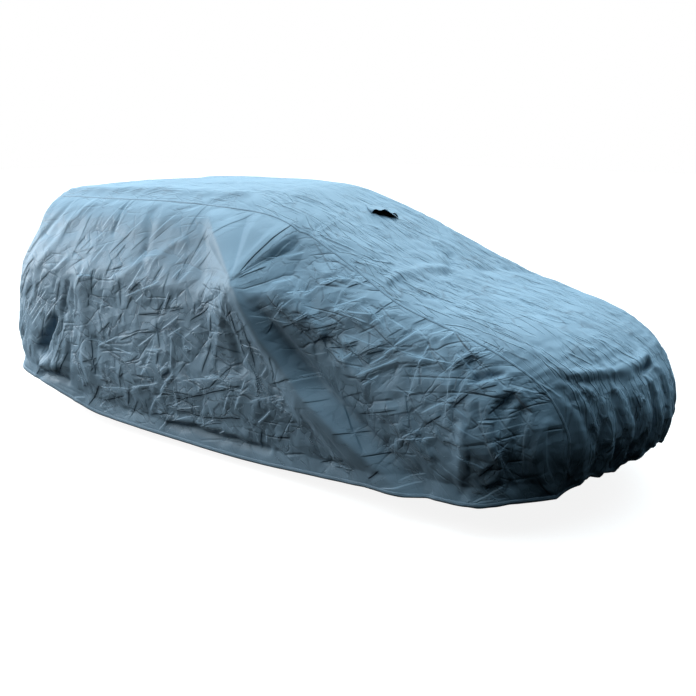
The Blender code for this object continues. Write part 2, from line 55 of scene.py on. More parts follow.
CENTRE_LINE = np.array([
    # x, height, seam half width
    (-2.24, 0.34, 0.60), (-2.31, 0.51, 0.62), (-2.31, 0.70, 0.63), (-2.25, 0.96, 0.61), (-2.12, 1.23, 0.56),
    (-1.98, 1.43, 0.50), (-1.75, 1.48, 0.52), (-1.30, 1.52, 0.56), (-0.60, 1.55, 0.57), (0.00, 1.54, 0.58),
    (0.30, 1.465, 0.56), (0.75, 1.29, 0.60), (1.15, 1.115, 0.66), (1.50, 1.02, 0.67), (1.85, 0.935, 0.67),
    (2.11, 0.825, 0.65), (2.245, 0.685, 0.63), (2.29, 0.50, 0.60), (2.25, 0.33, 0.58), (2.18, 0.20, 0.57),
])
REAR_CORNER_ROW = 5
FRONT_CORNER_ROW = 15
WIDTH_BY_HEIGHT = np.array([
    # height, half width
    (0.05, 0.83), (0.25, 0.875), (0.45, 0.892), (0.70, 0.875), (0.92, 0.868),
    (1.02, 0.847), (1.20, 0.762), (1.40, 0.703), (1.60, 0.56),
])
WIDTH_ALONG = np.array([
    # x, share of the width
    (-2.6, 0.90), (-2.2, 0.93), (-1.4, 1.00), (1.0, 0.988), (1.8, 0.985), (2.4, 0.928),
])
FRONT_BOW, FRONT_BOWED = 0.374, (0.6, 1.6)    # how far the middle stands out, from where and over what
REAR_BOW, REAR_BOWED = 0.176, (1.2, 1.0)
BOW_HALF, TOP_CROWN = 0.80, 0.047     # at this half width; how far the top falls there
EDGE_SOFTNESS = 0.40
REAR_CORE, FRONT_CORE = (-1.50, 0.90), (1.60, 0.50)     # the lines outwards start between these
SIDE_HEM = np.array([
    # x, height
    (-2.20, 0.28), (-1.90, 0.24), (-1.70, 0.21), (-1.50, 0.17), (-1.30, 0.13), (-1.07, 0.085),
    (-0.70, 0.07), (-0.15, 0.06), (0.25, 0.06), (0.63, 0.08), (0.97, 0.10), (1.28, 0.135),
    (1.54, 0.15), (1.76, 0.16), (1.90, 0.18), (2.10, 0.17),
])
FRONT_HEM = np.array([
    # y, height
    (-0.70, 0.17), (-0.56, 0.175), (-0.48, 0.23), (-0.36, 0.25), (-0.18, 0.26), (-0.03, 0.31),
    (0.20, 0.30), (0.45, 0.26), (0.70, 0.22),
])
REAR_HEM = np.array([
    # y, height
    (-0.70, 0.28), (-0.30, 0.33), (0.05, 0.34), (0.40, 0.32), (0.70, 0.28),
])
HEM_DRAW = 0.016              # the elastic draws both ends in by this
FLARE, FLARE_HEIGHT = 0.036, 0.085    # the strip above the side hems stands out
TENT_TIP = (0.28, 1.075)
TENT_OUT, TENT_LIFT = 0.165, 0.1      # metres; share of that
TENT_INNER, TENT_BLEND = 0.45, 0.2    # the tents start this far from the middle
TENT_REACH = np.array([
    # direction in degrees, from forwards over upwards; reach
    (-180, 0.34), (-150, 0.34), (-120, 0.46), (-100, 0.40), (-85, 0.44), (-66, 0.46), (-45, 0.60),
    (-30, 0.60), (-14, 0.42), (-5, 0.34), (15, 0.26), (45, 0.21),
    (60, 0.36), (75, 0.37), (90, 0.36), (112, 0.40), (126, 0.33), (136, 0.46), (148, 0.60),
    (160, 0.42), (180, 0.34),
])
TENT_FOOT = 0.16              # share of the tent's reach over which the cloth eases on to the side
TENT_KNOB, KNOB_SET = 0.035, 0.6      # radius of its rounded tip; share of that left out of the distance
TENT_RIDGE = np.array([
    # x, height, relief, width: the broad smooth fold that runs down from the tent
    (0.31, 1.03, 0.010, 0.026), (0.39, 0.92, 0.038, 0.038), (0.48, 0.79, 0.064, 0.044),
    (0.61, 0.64, 0.074, 0.048), (0.72, 0.53, 0.073, 0.050), (1.06, 0.31, 0.058, 0.052),
    (1.42, 0.10, 0.030, 0.054),
])
RIDGE_LEE = 2.2               # its lower, rear side is this much wider than its upper, front side
TENT_TROUGH = np.array([
    # x, height, relief, width: the trough ahead of it
    (0.46, 0.98, -0.010, 0.028), (0.55, 0.86, -0.028, 0.034), (0.65, 0.74, -0.038, 0.036),
    (0.81, 0.60, -0.036, 0.036), (1.15, 0.39, -0.024, 0.036), (1.49, 0.17, -0.012, 0.034),
])
MILLIMETRES = 1000            # to a metre
# A row of a table of folds is one soft trough or ridge, from one place to another:
# x or y, y or height, to x or y, to y or height, relief there, relief at the end, width
RIGHT_FOLDS = np.array([
    (980, 740, 1580, 280, 20, 14, 60), (170, 980, 250, 580, -12, -10, 36),
    (520, 1060, 820, 860, 18, 22, 38),
    # the deep pocket at the rear quarter and the flap below it
    (-1510, 620, -1630, 420, -50, -90, 38), (-1600, 320, -1460, 360, 44, 36, 50),
    # the rest of the side
    (-1680, 250, -1380, 260, -26, -20, 22), (-1320, 880, -1380, 730, -10, -12, 30),
    (-1380, 730, -1410, 520, -12, -8, 30), (-1320, 490, -1360, 280, -12, -10, 30),
    (-1160, 920, -1140, 300, 20, 13, 60), (-1030, 560, -1030, 360, -12, -10, 40),
    (-1620, 1360, -1860, 980, -12, -8, 30), (-1360, 1380, -1660, 1000, 12, 7, 35),
    (-1020, 1410, -1000, 1240, -12, -6, 18), (-700, 1360, -600, 1080, -10, -6, 35),
    (-360, 1240, -860, 960, 10, 7, 35), (-450, 180, 240, 200, 14, 10, 30),
    (-400, 135, 400, 155, -16, -16, 22), (430, 1280, 410, 1370, -24, -20, 30),
    (1530, 330, 1670, 200, -11, -9, 30), (1920, 620, 1900, 260, -12, -16, 22),
    (2000, 560, 2000, 240, 10, 12, 24), (1700, 760, 1780, 780, -20, -14, 16),
    # the pocket at the front corner
    (1850, 660, 1860, 540, -30, -14, 32),
    # the front corner
    (1700, 520, 1660, 260, 14, 10, 40), (1500, 900, 1620, 850, 20, 14, 40),
]) / MILLIMETRES
LEFT_FOLDS = np.array([
    (640, 940, 1520, 340, 30, 18, 70), (-1550, 600, -1720, 320, -44, -23, 55),
    (-1220, 900, -1340, 300, -39, -21, 50), (-1060, 920, -1060, 200, 30, 16, 60),
    (-1850, 930, -1200, 940, -18, -9, 50), (-1400, 1380, -1720, 1000, 18, 9, 55),
    (-800, 1360, -660, 1060, -21, -10, 55), (-250, 860, -900, 740, -23, -13, 55),
    (-800, 520, -200, 640, 21, 10, 55), (-1000, 260, -300, 300, 23, 13, 50),
    (-200, 320, 400, 440, 21, 10, 50), (220, 740, 260, 340, -27, -14, 50),
    (660, 220, 1160, 200, -27, -14, 55), (500, 1020, 900, 1120, -33, -17, 50),
    (1160, 660, 1420, 920, -33, -17, 50), (1600, 780, 1580, 440, -30, -16, 50),
    (1460, 940, 1760, 780, 27, 14, 50),
]) / MILLIMETRES
TOP_FOLDS = np.array([
    (-1800, -450, -150, -460, 22, 12, 45), (-1800, 450, -150, 460, 22, 12, 45),
    (-1950, -420, -1950, 420, 14, 9, 50), (100, 440, 860, 580, -14, -9, 50),
    (1000, 50, 1160, -240, -14, -8, 34), (1020, -550, 1090, -100, 12, 8, 36),
    (1160, 100, 1240, 500, -12, -10, 45), (1180, -300, 1950, -340, 9, 6, 55),
    (1200, 260, 1960, 300, 9, 6, 55), (-1100, 200, -400, 50, 9, 6, 70),
]) / MILLIMETRES
FRONT_FOLDS = np.array([
    (-560, 785, -300, 765, 10, 12, 25), (-300, 765, 40, 785, 12, 16, 24),
    (40, 785, 400, 780, 10, 8, 30), (-80, 735, 20, 750, -18, -30, 13),
    (-540, 520, -490, 260, 4, 11, 26), (-470, 660, -430, 280, -7, -17, 22),
    (-400, 600, -370, 280, 4, 11, 24), (-350, 660, -310, 280, -6, -17, 20),
    (-270, 500, -250, 300, 4, 11, 22), (-220, 680, -210, 320, -7, -13, 20),
    (-150, 560, -130, 320, 5, 12, 26), (-60, 640, -80, 340, -6, -15, 22), (10, 620, 0, 340, 5, 11, 24),
    (90, 660, 80, 340, -7, -15, 24), (190, 580, 170, 320, 6, 12, 28), (280, 620, 290, 300, -6, -15, 24),
    (370, 600, 400, 280, 5, 12, 28), (490, 620, 470, 280, -6, -15, 26),
]) / MILLIMETRES
REAR_FOLDS = np.array([
    (-520, 800, -420, 340, -10, -20, 40), (-360, 660, -330, 340, 6, 14, 34),
    (-260, 800, -220, 340, -10, -18, 34), (-120, 600, -100, 340, 8, 14, 36),
    (40, 740, 0, 340, -12, -20, 36), (150, 640, 130, 340, 6, 14, 34),
    (280, 820, 240, 340, -10, -18, 36), (500, 860, 420, 340, -12, -20, 40),
    (-500, 960, 460, 1020, -10, -6, 50), (-400, 1300, 200, 1080, 8, 5, 50),
]) / MILLIMETRES
# A row of a table of creases has one relief, raised on the left of the way it runs and sunk on its right:
# x or y, y or height, to x or y, to y or height, relief, width
RIGHT_CREASES = np.array([
    (-620, 785, -380, 815, 9, 13), (-430, 710, -270, 815, -8, 13), (-800, 600, -620, 675, 7, 13),
    (-620, 675, -460, 695, 7, 12), (-630, 590, -480, 685, -7, 12), (-360, 690, -250, 750, -13, 13),
    (-335, 500, -330, 690, -12, 13), (-400, 405, -310, 470, -12, 13), (-730, 315, -450, 390, -9, 13),
    (-230, 445, 250, 550, -9, 14), (-560, 200, -500, 280, -11, 12), (-500, 280, -420, 335, -10, 12),
    (-420, 335, -230, 320, 8, 13), (-190, 345, 240, 490, 10, 14), (-570, 165, -390, 215, 11, 15),
    (-385, 250, -220, 325, -11, 13), (-360, 250, -30, 245, 9, 16), (-60, 245, 230, 300, 11, 15),
    (-1040, 265, -720, 310, -10, 13), (-1040, 170, -800, 245, 13, 18), (-1000, 750, -950, 900, -9, 12),
    (-740, 880, -440, 1000, -8, 12), (-700, 910, -560, 1020, 7, 12), (-680, 950, -620, 1090, -6, 12),
    (-900, 510, -690, 440, 7, 12), (-860, 550, -680, 530, -6, 12), (0, 757, 30, 860, 7, 12),
    (0, 757, 190, 780, -8, 12), (0, 757, -40, 680, 6, 12), (-170, 755, -20, 650, 7, 12),
    (40, 620, 240, 555, 8, 13), (40, 920, 200, 810, 6, 12), (-170, 800, 10, 905, 8, 15),
    (220, 830, 160, 1050, 7, 14), (240, 615, 320, 685, -9, 12), (350, 610, 340, 850, 8, 13),
    (360, 300, 460, 385, -16, 12), (370, 480, 390, 390, -9, 12), (300, 1120, 370, 1375, 16, 20),
    (310, 1110, 380, 1190, -12, 14), (380, 1195, 520, 1225, -13, 14), (310, 1090, 400, 1150, 8, 13),
    (400, 1200, 425, 1290, -7, 11), (660, 1030, 720, 1100, -14, 13), (710, 1095, 840, 1130, -15, 13),
    (580, 1030, 680, 1060, -8, 12), (480, 1080, 550, 1095, -9, 12), (610, 1040, 580, 1110, -6, 11),
    (560, 960, 590, 990, -8, 11), (860, 1080, 950, 1125, 9, 12), (840, 995, 980, 1045, -12, 14),
    (840, 1070, 850, 1000, 6, 11), (660, 910, 720, 950, -10, 12), (490, 1020, 770, 810, 15, 17),
    (770, 810, 850, 850, 11, 14), (850, 850, 1120, 745, 12, 16), (830, 785, 990, 710, 9, 12),
    (960, 745, 1010, 790, -8, 12), (1070, 930, 1120, 975, -10, 12), (860, 980, 1050, 935, -7, 12),
    (1120, 745, 1200, 800, -11, 13), (1190, 800, 1330, 935, -13, 12), (1050, 680, 1270, 790, -9, 13),
    (1100, 640, 1180, 700, -8, 12), (1150, 965, 1270, 920, -6, 12), (1360, 610, 1410, 880, -9, 14),
    (1470, 940, 1730, 785, 14, 16), (1585, 540, 1555, 850, -10, 14), (1620, 640, 1650, 775, -11, 13),
    (1660, 725, 1790, 775, -14, 14), (1610, 610, 1680, 690, 8, 12), (1680, 695, 1810, 680, 8, 13),
    (1830, 400, 1735, 655, -9, 14), (1790, 610, 1865, 710, 13, 14), (1865, 710, 1960, 620, 14, 14),
    (1830, 400, 1890, 485, -9, 12), (1870, 300, 1850, 550, 9, 14), (1765, 310, 1830, 375, 8, 12),
    (1785, 240, 1840, 290, 8, 12), (1200, 500, 1520, 330, 10, 18), (1180, 375, 1470, 220, -10, 16),
    (1440, 480, 1560, 570, 7, 12), (1520, 530, 1630, 500, 6, 12), (1580, 450, 1680, 440, 7, 12),
    (1940, 280, 1950, 600, -10, 14), (2030, 260, 2020, 560, 10, 14), (-1280, 520, -1250, 900, -11, 15),
    (-1260, 460, -1160, 240, -10, 13), (-1230, 420, -1100, 200, -9, 13),
    (-1220, 960, -1060, 975, -8, 12), (-1500, 965, -1360, 1060, -10, 16),
    (-1700, 830, -1500, 965, 7, 16), (-1790, 630, -1570, 830, -10, 16),
    (-1750, 580, -1550, 770, -8, 14), (-1860, 570, -1780, 700, -7, 13),
    (-1490, 540, -1430, 680, -12, 14), (-1520, 760, -1460, 790, -9, 12),
    (-1430, 450, -1440, 300, -8, 13), (-1300, 910, -1390, 720, 14, 14),
    (-1390, 720, -1400, 520, 12, 14), (-1310, 500, -1360, 280, 14, 14),
    (-1080, 600, -1060, 340, -10, 14), (-1520, 660, -1500, 440, 16, 14),
    (-1500, 440, -1600, 340, 14, 14), (-1670, 310, -1440, 285, 13, 14), (520, 1290, 760, 1130, 5, 10),
    (660, 1220, 870, 1120, 5, 10),
]) / MILLIMETRES
TOP_CREASES = np.array([
    (610, 200, 800, 250, -8, 12), (510, -250, 620, -280, -6, 12), (820, -550, 960, -500, -8, 12),
    (500, -250, 500, -560, 5, 10), (350, -460, 500, -550, -8, 12), (550, -480, 620, -500, -6, 11),
    (1250, -150, 1470, -120, -6, 12), (1220, -420, 1450, -480, -6, 12),
    (1550, -520, 1700, -600, -6, 12), (160, -200, 300, -260, -6, 13), (80, -340, 240, -420, -7, 13),
    (-200, -300, 100, -360, -5, 14), (1300, 100, 1520, 140, -6, 12), (1620, -200, 1850, -170, 6, 13),
    (700, 20, 900, 0, 5, 12), (620, -120, 860, -160, -5, 12), (360, 300, 600, 340, -6, 12),
    (-900, 100, -500, 160, -5, 14), (-1500, -100, -1100, -40, 5, 14), (1450, 360, 1750, 330, -6, 13),
]) / MILLIMETRES
FRONT_CREASES = np.array([
    (-550, 765, -300, 740, 14, 16), (-300, 740, -150, 730, 14, 14), (-150, 730, 30, 765, 18, 16),
    (-580, 775, -500, 700, -10, 13), (-620, 720, -570, 640, -8, 13), (-500, 720, -440, 640, 8, 12),
    (-460, 440, -410, 290, -10, 13), (-390, 520, -340, 340, -10, 13), (-270, 640, -230, 490, -11, 13),
    (-200, 680, -150, 600, -9, 12), (-290, 440, -250, 350, -8, 12), (-330, 740, -310, 690, -8, 12),
    (-60, 700, -40, 480, 9, 13), (-110, 600, -100, 420, -9, 13), (60, 740, 100, 560, 9, 14),
    (140, 700, 160, 420, -9, 14), (-520, 560, -460, 500, 7, 12), (-360, 600, -420, 700, 8, 12),
    (-550, 640, -520, 340, -8, 12), (-440, 600, -380, 460, 8, 12), (-310, 600, -280, 400, 8, 12),
    (-240, 440, -200, 340, 8, 12), (-170, 520, -180, 360, -8, 12), (-20, 600, 20, 440, -9, 12),
]) / MILLIMETRES
CREASE_SPREAD, CREASE_SHARE = 1.6, 0.4    # bell width over the crease's, bell height over its relief
CREASE_APART = 0.7            # the two bells stand this many widths to either side of the line
CREASE_FADE = 1.12            # a crease keeps its depth until near its ends
CREASE_SWAY, SWAY_WAVES, SWAY_START = 0.10, 35, 50      # share of the width; radians to a metre
CREASE_FAR = 0.05             # no crease is looked for further away
LEFT_SHIFT = 0.05             # the left side's creases stand this much further back
FACING, FACING_SHOWN = 0.35, 0.3      # how squarely the cloth has to look a way to carry that way's folds


def between(points, along):
    """Catmull-Rom curve through points, or rows of them, at places along it that are counted in gaps."""
    padded = np.concatenate([2 * points[:1] - points[1:2], points, 2 * points[-1:] - points[-2:-1]])
    first = np.minimum(along.astype(int), len(points) - 2)
    t = (along - first).reshape((-1,) + (1,) * (points.ndim - 1))
    a, b, c, d = (padded[first + k] for k in range(4))
    bent, twisted = (2 * a - 5 * b + 4 * c - d) * t**2, (3 * b - a - 3 * c + d) * t**3
    return 0.5 * (2 * b + (c - a) * t + bent + twisted)


def smooth_curve(rows):
    """The curve through the rows of a table, CURVE_STEPS points for each gap."""
    gaps = len(rows) - 1
    return between(rows, np.linspace(0, gaps, CURVE_STEPS * gaps + 1))


def finer(grid, times):
    """A grid with each cell cut into times by times: curves through its points, both ways."""
    for axis in (0, 1):
        lines_of_points = np.moveaxis(grid, axis, 0)
        along = np.arange((len(lines_of_points) - 1) * times + 1) / times
        grid = np.moveaxis(between(lines_of_points, along), 0, axis)
    return grid


CENTRE_CURVE = smooth_curve(CENTRE_LINE)
OUTLINE = np.vstack([CENTRE_CURVE[::3, :2], (CENTRE_CURVE[-1, 0], -1.0), (CENTRE_CURVE[0, 0], -1.0)])
WIDTH_CURVE = smooth_curve(WIDTH_BY_HEIGHT)
ALONG_CURVE = smooth_curve(WIDTH_ALONG)
HEM_CURVE = smooth_curve(SIDE_HEM)


def rising(value, start, over):
    """0 up to start, then rising evenly to 1 over a distance."""
    return np.clip((value - start) / over, 0, 1)


def outline_distance(x, z):
    """Distance from (x, z) to the side view's outline, negative inside it."""
    nearest = np.full(x.shape, np.inf)
    inside = np.zeros(x.shape, bool)
    for (ax, az), (bx, bz) in zip(OUTLINE, np.roll(OUTLINE, -1, axis=0)):
        ex, ez = bx - ax, bz - az
        t = np.clip(((x - ax) * ex + (z - az) * ez) / (ex * ex + ez * ez), 0, 1)
        nearest = np.minimum(nearest, (x - ax - t * ex) ** 2 + (z - az - t * ez) ** 2)
        if az != bz:
            crosses = (az > z) != (bz > z)
            inside ^= crosses & (x < ax + (z - az) * ex / ez)
    return np.where(inside, -1, 1) * np.sqrt(nearest)


def cover_distance(p):
    """Rough distance to the cover: the side view's distance and |y| less the half width, softly joined."""
    x, y, z = p[..., 0], p[..., 1], p[..., 2]
    across = (y / BOW_HALF) ** 2
    front, rear = FRONT_BOW * rising(x, *FRONT_BOWED) ** 2, REAR_BOW * rising(-x, *REAR_BOWED) ** 2
    side_view = outline_distance(x + (front - rear) * across, z + TOP_CROWN * across)
    half = np.interp(z, *WIDTH_CURVE.T) * np.interp(x, *ALONG_CURVE.T)
    from_side = np.abs(y) - half
    overlap = np.maximum(EDGE_SOFTNESS - np.abs(side_view - from_side), 0)
    return np.maximum(side_view, from_side) + overlap**2 / (4 * EDGE_SOFTNESS)


def onto_cover(start, direction, nearest, furthest):
    """The points where lines from inside leave the cover, found by halving 20 times."""
    low = np.full(start.shape[:-1], nearest)
    high = np.full(start.shape[:-1], furthest)
    for _ in range(20):
        middle = (low + high) / 2
        inside = cover_distance(start + middle[..., None] * direction) < 0
        low = np.where(inside, middle, low)
        high = np.where(inside, high, middle)
    return start + low[..., None] * direction


def unit(vectors):
    """Vectors of length 1."""
    return vectors / np.linalg.norm(vectors, axis=-1, keepdims=True)


def outward(p, step=0.004):
    """Unit normals of the smooth cover, from the slope of cover_distance over a step each way."""
    return unit(np.stack([
        cover_distance(p + step * axis) - cover_distance(p - step * axis) for axis in np.eye(3)
    ], axis=-1))


def lengths(line):
    """Distance along a line of points, from its first point."""
    return np.concatenate([[0], np.cumsum(np.linalg.norm(np.diff(line, axis=0), axis=-1))])


def evenly(curve, cells):
    """Points at equal distances along a curve."""
    along = lengths(curve[:, :2])
    wanted = np.linspace(0, along[-1], cells + 1)
    return np.stack([np.interp(wanted, along, column) for column in curve.T], axis=1)


def centre_grid(up, along, across_cells):
    """Points of the centre panel, from the rear hem to the front hem, and from right to left."""
    rear, front = REAR_CORNER_ROW * CURVE_STEPS, FRONT_CORNER_ROW * CURVE_STEPS
    stations = np.vstack([
        evenly(CENTRE_CURVE[:rear + 1], up)[:-1],
        evenly(CENTRE_CURVE[rear:front + 1], along)[:-1],
        evenly(CENTRE_CURVE[front:], up),
    ])
    y = stations[:, 2:] * np.linspace(-1, 1, across_cells + 1)
    x, z = (np.broadcast_to(stations[:, k:k + 1], y.shape).copy() for k in (0, 1))
    row = np.arange(len(stations))[:, None]
    for from_hem, hem, height in ((row, REAR_HEM, CENTRE_LINE[0, 1]),
                                   (len(stations) - 1 - row, FRONT_HEM, CENTRE_LINE[-1, 1])):
        near = np.clip(1 - from_hem / up, 0, 1) ** 2
        z += near * (np.interp(y, *smooth_curve(hem).T) - height)
    core_x = np.clip(x, REAR_CORE[0], FRONT_CORE[0])
    core_z = np.minimum(z, np.where(x < 0, REAR_CORE[1], FRONT_CORE[1]))
    start = np.stack([core_x, y, core_z], axis=-1)
    direction = unit(np.stack([x - core_x, np.zeros_like(x), z - core_z], axis=-1))
    return onto_cover(start, direction, nearest=0.02, furthest=1.3)


WAVES_ALONG, WAVES_UP = (
    # height, radians to a metre along and up, start
    ((0.009, 9, 6, 1), (0.006, -12, 17, 0), (0.004, 31, 23, 0)),
    ((0.008, -7, 8, 2), (0.006, 19, 11, 0), (0.004, -37, 29, 0)),
)


def wandering(a, b):
    """Places moved by up to 2 cm, by three crossed waves each way, so that no fold is quite straight."""
    moved = []
    for place, waves in ((a, WAVES_ALONG), (b, WAVES_UP)):
        for height, along, up, start in waves:
            place = place + height * np.sin(along * a + up * b + start)
        moved.append(place)
    return moved


def beside_line(a, b, a0, b0, a1, b1):
    """Share of the way along a line at the place nearest to each point, and the distance to it."""
    da, db = a1 - a0, b1 - b0
    t = np.clip(((a - a0) * da + (b - b0) * db) / (da * da + db * db), 0, 1)
    return t, np.hypot(a - a0 - t * da, b - b0 - t * db)


def fold_relief(a, b, folds):
    """Sum of folds: a soft bell round each line, from one relief to the other along it."""
    total = np.zeros(a.shape)
    for *line, relief, end_relief, width in folds:
        t, away = beside_line(a, b, *line)
        total += (relief + (end_relief - relief) * t) * np.exp(-(away / width) ** 2)
    return total


def long_fold(a, b, line, right=1.0):
    """One bent fold: a bell round the nearest point of its line, with the relief and width given there.

    On the right of the line's direction the width is times right, so that the fold is gentler there.
    """
    nearest, relief, width = (np.full(a.shape, value) for value in (np.inf, 0.0, 1.0))
    for (a0, b0, *first), (a1, b1, *last) in zip(line[:-1], line[1:]):
        t, away = beside_line(a, b, a0, b0, a1, b1)
        away = np.where((b - b0) * (a1 - a0) < (a - a0) * (b1 - b0), away / right, away)
        closer = away < nearest
        nearest = np.where(closer, away, nearest)
        relief = np.where(closer, first[0] + (last[0] - first[0]) * t, relief)
        width = np.where(closer, first[1] + (last[1] - first[1]) * t, width)
    return relief * np.exp(-(nearest / width) ** 2)


def crease_relief(a_all, b_all, creases, there):
    """Creases: a bell up on each line's left and one down on its right, and the nearest line's place.

    The place is the distance to the left of the nearest line, and how deep its crease is there, which fades
    to the line's ends. The material draws the sharp edge of the crease from them.
    """
    a, b = a_all[there], b_all[there]
    total, deep = np.zeros((2,) + a.shape)
    beside = np.full(a.shape, CREASE_FAR)
    nearest = beside.copy()
    for a0, b0, a1, b1, relief, width in creases:
        length = math.hypot(a1 - a0, b1 - b0)
        da, db = (a1 - a0) / length, (b1 - b0) / length
        t = ((a - a0) * da + (b - b0) * db) / length
        off = (b - b0) * da - (a - a0) * db
        off = off + CREASE_SWAY * width * np.sin(SWAY_WAVES * t * length + SWAY_START * a0)
        fade = np.clip(CREASE_FADE - (2 * t - 1) ** 4, 0, 1)
        side = off / (CREASE_SPREAD * width)
        bells = np.exp(-(side - CREASE_APART) ** 2) - np.exp(-(side + CREASE_APART) ** 2)
        total += CREASE_SHARE * relief * fade * bells
        away = np.hypot(off, np.maximum(np.abs(t - 0.5) - 0.5, 0) * length)
        closer = away < nearest
        nearest = np.where(closer, away, nearest)
        beside = np.where(closer, off, beside)
        deep = np.where(closer, relief * fade, deep)
    whole = np.zeros((3,) + a_all.shape)
    whole[1] = CREASE_FAR
    whole[:, there] = total, beside, deep
    return whole


def strewn(draw, batches):
    """Short folds at random places, up or down, in batches that say where, which way and how large."""
    rows = []
    for count, a0, b0, a1, b1, turn, spread, shortest, longest, narrow, wide, relief in batches:
        count = int(count)
        middle = draw.uniform((a0, b0), (a1, b1), (count, 2))
        angle = np.radians(turn + spread * draw.uniform(-1, 1, count))
        arm = draw.uniform(shortest, longest, count)[:, None] / 2
        arm = arm * np.stack([np.cos(angle), np.sin(angle)], 1)
        height = relief * draw.uniform(0.5, 1.3, count) * draw.choice([-1, 1], count)
        width = draw.uniform(narrow, wide, count)
        rows.append(np.column_stack([middle - arm, middle + arm, height, 0.5 * height, width]))
    return np.vstack(rows)


def lines(seed, batches):
    """Short creases at random places, in the same columns as the tables of creases."""
    return strewn(np.random.RandomState(seed), batches)[:, [0, 1, 2, 3, 4, 6]]


# A row of these and of the tables of strewn folds is one batch, over a field between two corners: count,
# corner, opposite corner, turn and its spread in degrees, shortest, longest, narrowest, widest, relief
SIDE_LINES = lines(61, [
    (130, -1.3, 0.15, 0.6, 0.95, 0, 90, 0.05, 0.26, 0.011, 0.014, 0.0075),
    (40, -2.1, 0.95, 0.1, 1.40, 60, 30, 0.06, 0.30, 0.011, 0.014, 0.0040),
    (30, -1.2, 0.85, -0.2, 1.15, 45, 40, 0.05, 0.16, 0.011, 0.014, 0.0060),
    (40, -2.1, 0.30, -1.2, 0.95, 65, 25, 0.08, 0.30, 0.011, 0.014, 0.0070),
    (50, 0.5, 0.80, 1.8, 1.20, 10, 45, 0.06, 0.26, 0.011, 0.014, 0.0060),
    (70, 0.7, 0.15, 2.0, 0.90, -20, 60, 0.06, 0.28, 0.011, 0.014, 0.0060),
])
TOP_LINES = lines(67, [
    (70, -1.9, -0.6, 0.3, 0.6, 0, 25, 0.10, 0.45, 0.011, 0.014, 0.0028),
    (80, 0.2, -0.6, 1.2, 0.6, 0, 30, 0.08, 0.35, 0.011, 0.014, 0.0045),
    (90, 1.0, -0.6, 2.1, 0.6, -6, 28, 0.08, 0.35, 0.011, 0.014, 0.0050),
])
REAR_LINES = lines(73, [(110, -0.65, 0.35, 0.65, 1.40, 80, 45, 0.06, 0.34, 0.011, 0.014, 0.0065)])
FRONT_LINES = lines(71, [(80, -0.62, 0.25, 0.62, 0.75, 85, 28, 0.06, 0.30, 0.010, 0.013, 0.0085)])


def tent_share(x, z):
    """1 at the tent's tip, falling in straight lines and easing out to 0 at the reach in each direction."""
    dx, dz = x - TENT_TIP[0], z - TENT_TIP[1]
    reach = np.interp(np.degrees(np.arctan2(dz, dx)), *TENT_REACH.T)
    away = np.sqrt(dx**2 + dz**2 + TENT_KNOB**2) - KNOB_SET * TENT_KNOB
    share = np.clip(1 - away / reach, -TENT_FOOT, 1)
    return np.where(share > TENT_FOOT, share, (share + TENT_FOOT) ** 2 / (4 * TENT_FOOT))


def over_hem(x, z):
    """Height above the side's lower edge."""
    return z - np.interp(x, *HEM_CURVE.T)


def folded(p, normal):
    """The smooth cover's points moved by folds, creases, tents and flared hems, and the creases' places."""
    x, y, z = p[..., 0], p[..., 1], p[..., 2]
    facing = rising(np.abs(normal), FACING, FACING)
    on_end, on_side, on_top = facing[..., 0], facing[..., 1], facing[..., 2]
    side, end = on_side > FACING_SHOWN, on_end > FACING_SHOWN
    left_lines = SIDE_LINES * (1, 1, 1, 1, -1, 1)
    fields = (
        (x, z, (RIGHT_CREASES, SIDE_LINES), side & (y < 0)),
        (x + LEFT_SHIFT, z, (RIGHT_CREASES[1::2], left_lines), side & (y > 0)),
        (x, y, (TOP_CREASES, TOP_LINES), on_top > FACING_SHOWN),
        (y, z, (FRONT_CREASES, FRONT_LINES), end & (x > 0)),
        (y, z, (REAR_LINES,), end & (x < 0)),
    )
    marks = (crease_relief(a, b, np.vstack(creases), there) for a, b, creases, there in fields)
    (right, left, top, front, rear), besides, depths = zip(*marks)
    a, b = wandering(x, z)
    tents = long_fold(x, z, TENT_RIDGE, RIDGE_LEE) + long_fold(x, z, TENT_TROUGH)
    side_folds = np.where(y < 0, fold_relief(a, b, RIGHT_FOLDS), fold_relief(a, b, LEFT_FOLDS))
    end_folds = np.where(x > 0, fold_relief(y, z, FRONT_FOLDS), fold_relief(-y, z, REAR_FOLDS))
    relief = on_side * (tents + side_folds)
    relief += on_side * (right + left)
    relief += on_top * (fold_relief(*wandering(x, y), TOP_FOLDS) + top)
    relief += on_end * end_folds
    relief += on_end * (front + rear - HEM_DRAW)
    relief += on_side * FLARE * np.clip(1 - over_hem(x, z) / FLARE_HEIGHT, 0, 1)
    tent = TENT_OUT * tent_share(x, z) * rising(np.abs(y), TENT_INNER, TENT_BLEND)
    moved = p + relief[..., None] * normal
    moved[..., 1] += np.sign(y) * tent
    moved[..., 2] += TENT_LIFT * tent
    where = [there for *_, there in fields]
    return moved, np.select(where, besides, CREASE_FAR), np.select(where, depths, 0.0)


def pull(p, a, b, rest, share):
    """Moves both ends of each thread towards its length: each takes half of the share that is missing."""
    span = p[b] - p[a]
    length = np.sqrt(np.einsum("...i,...i", span, span)) + 1e-9
    move = span * (0.5 * share * (1 - rest / length))[..., None]
    p[a] += move
    p[b] -= move


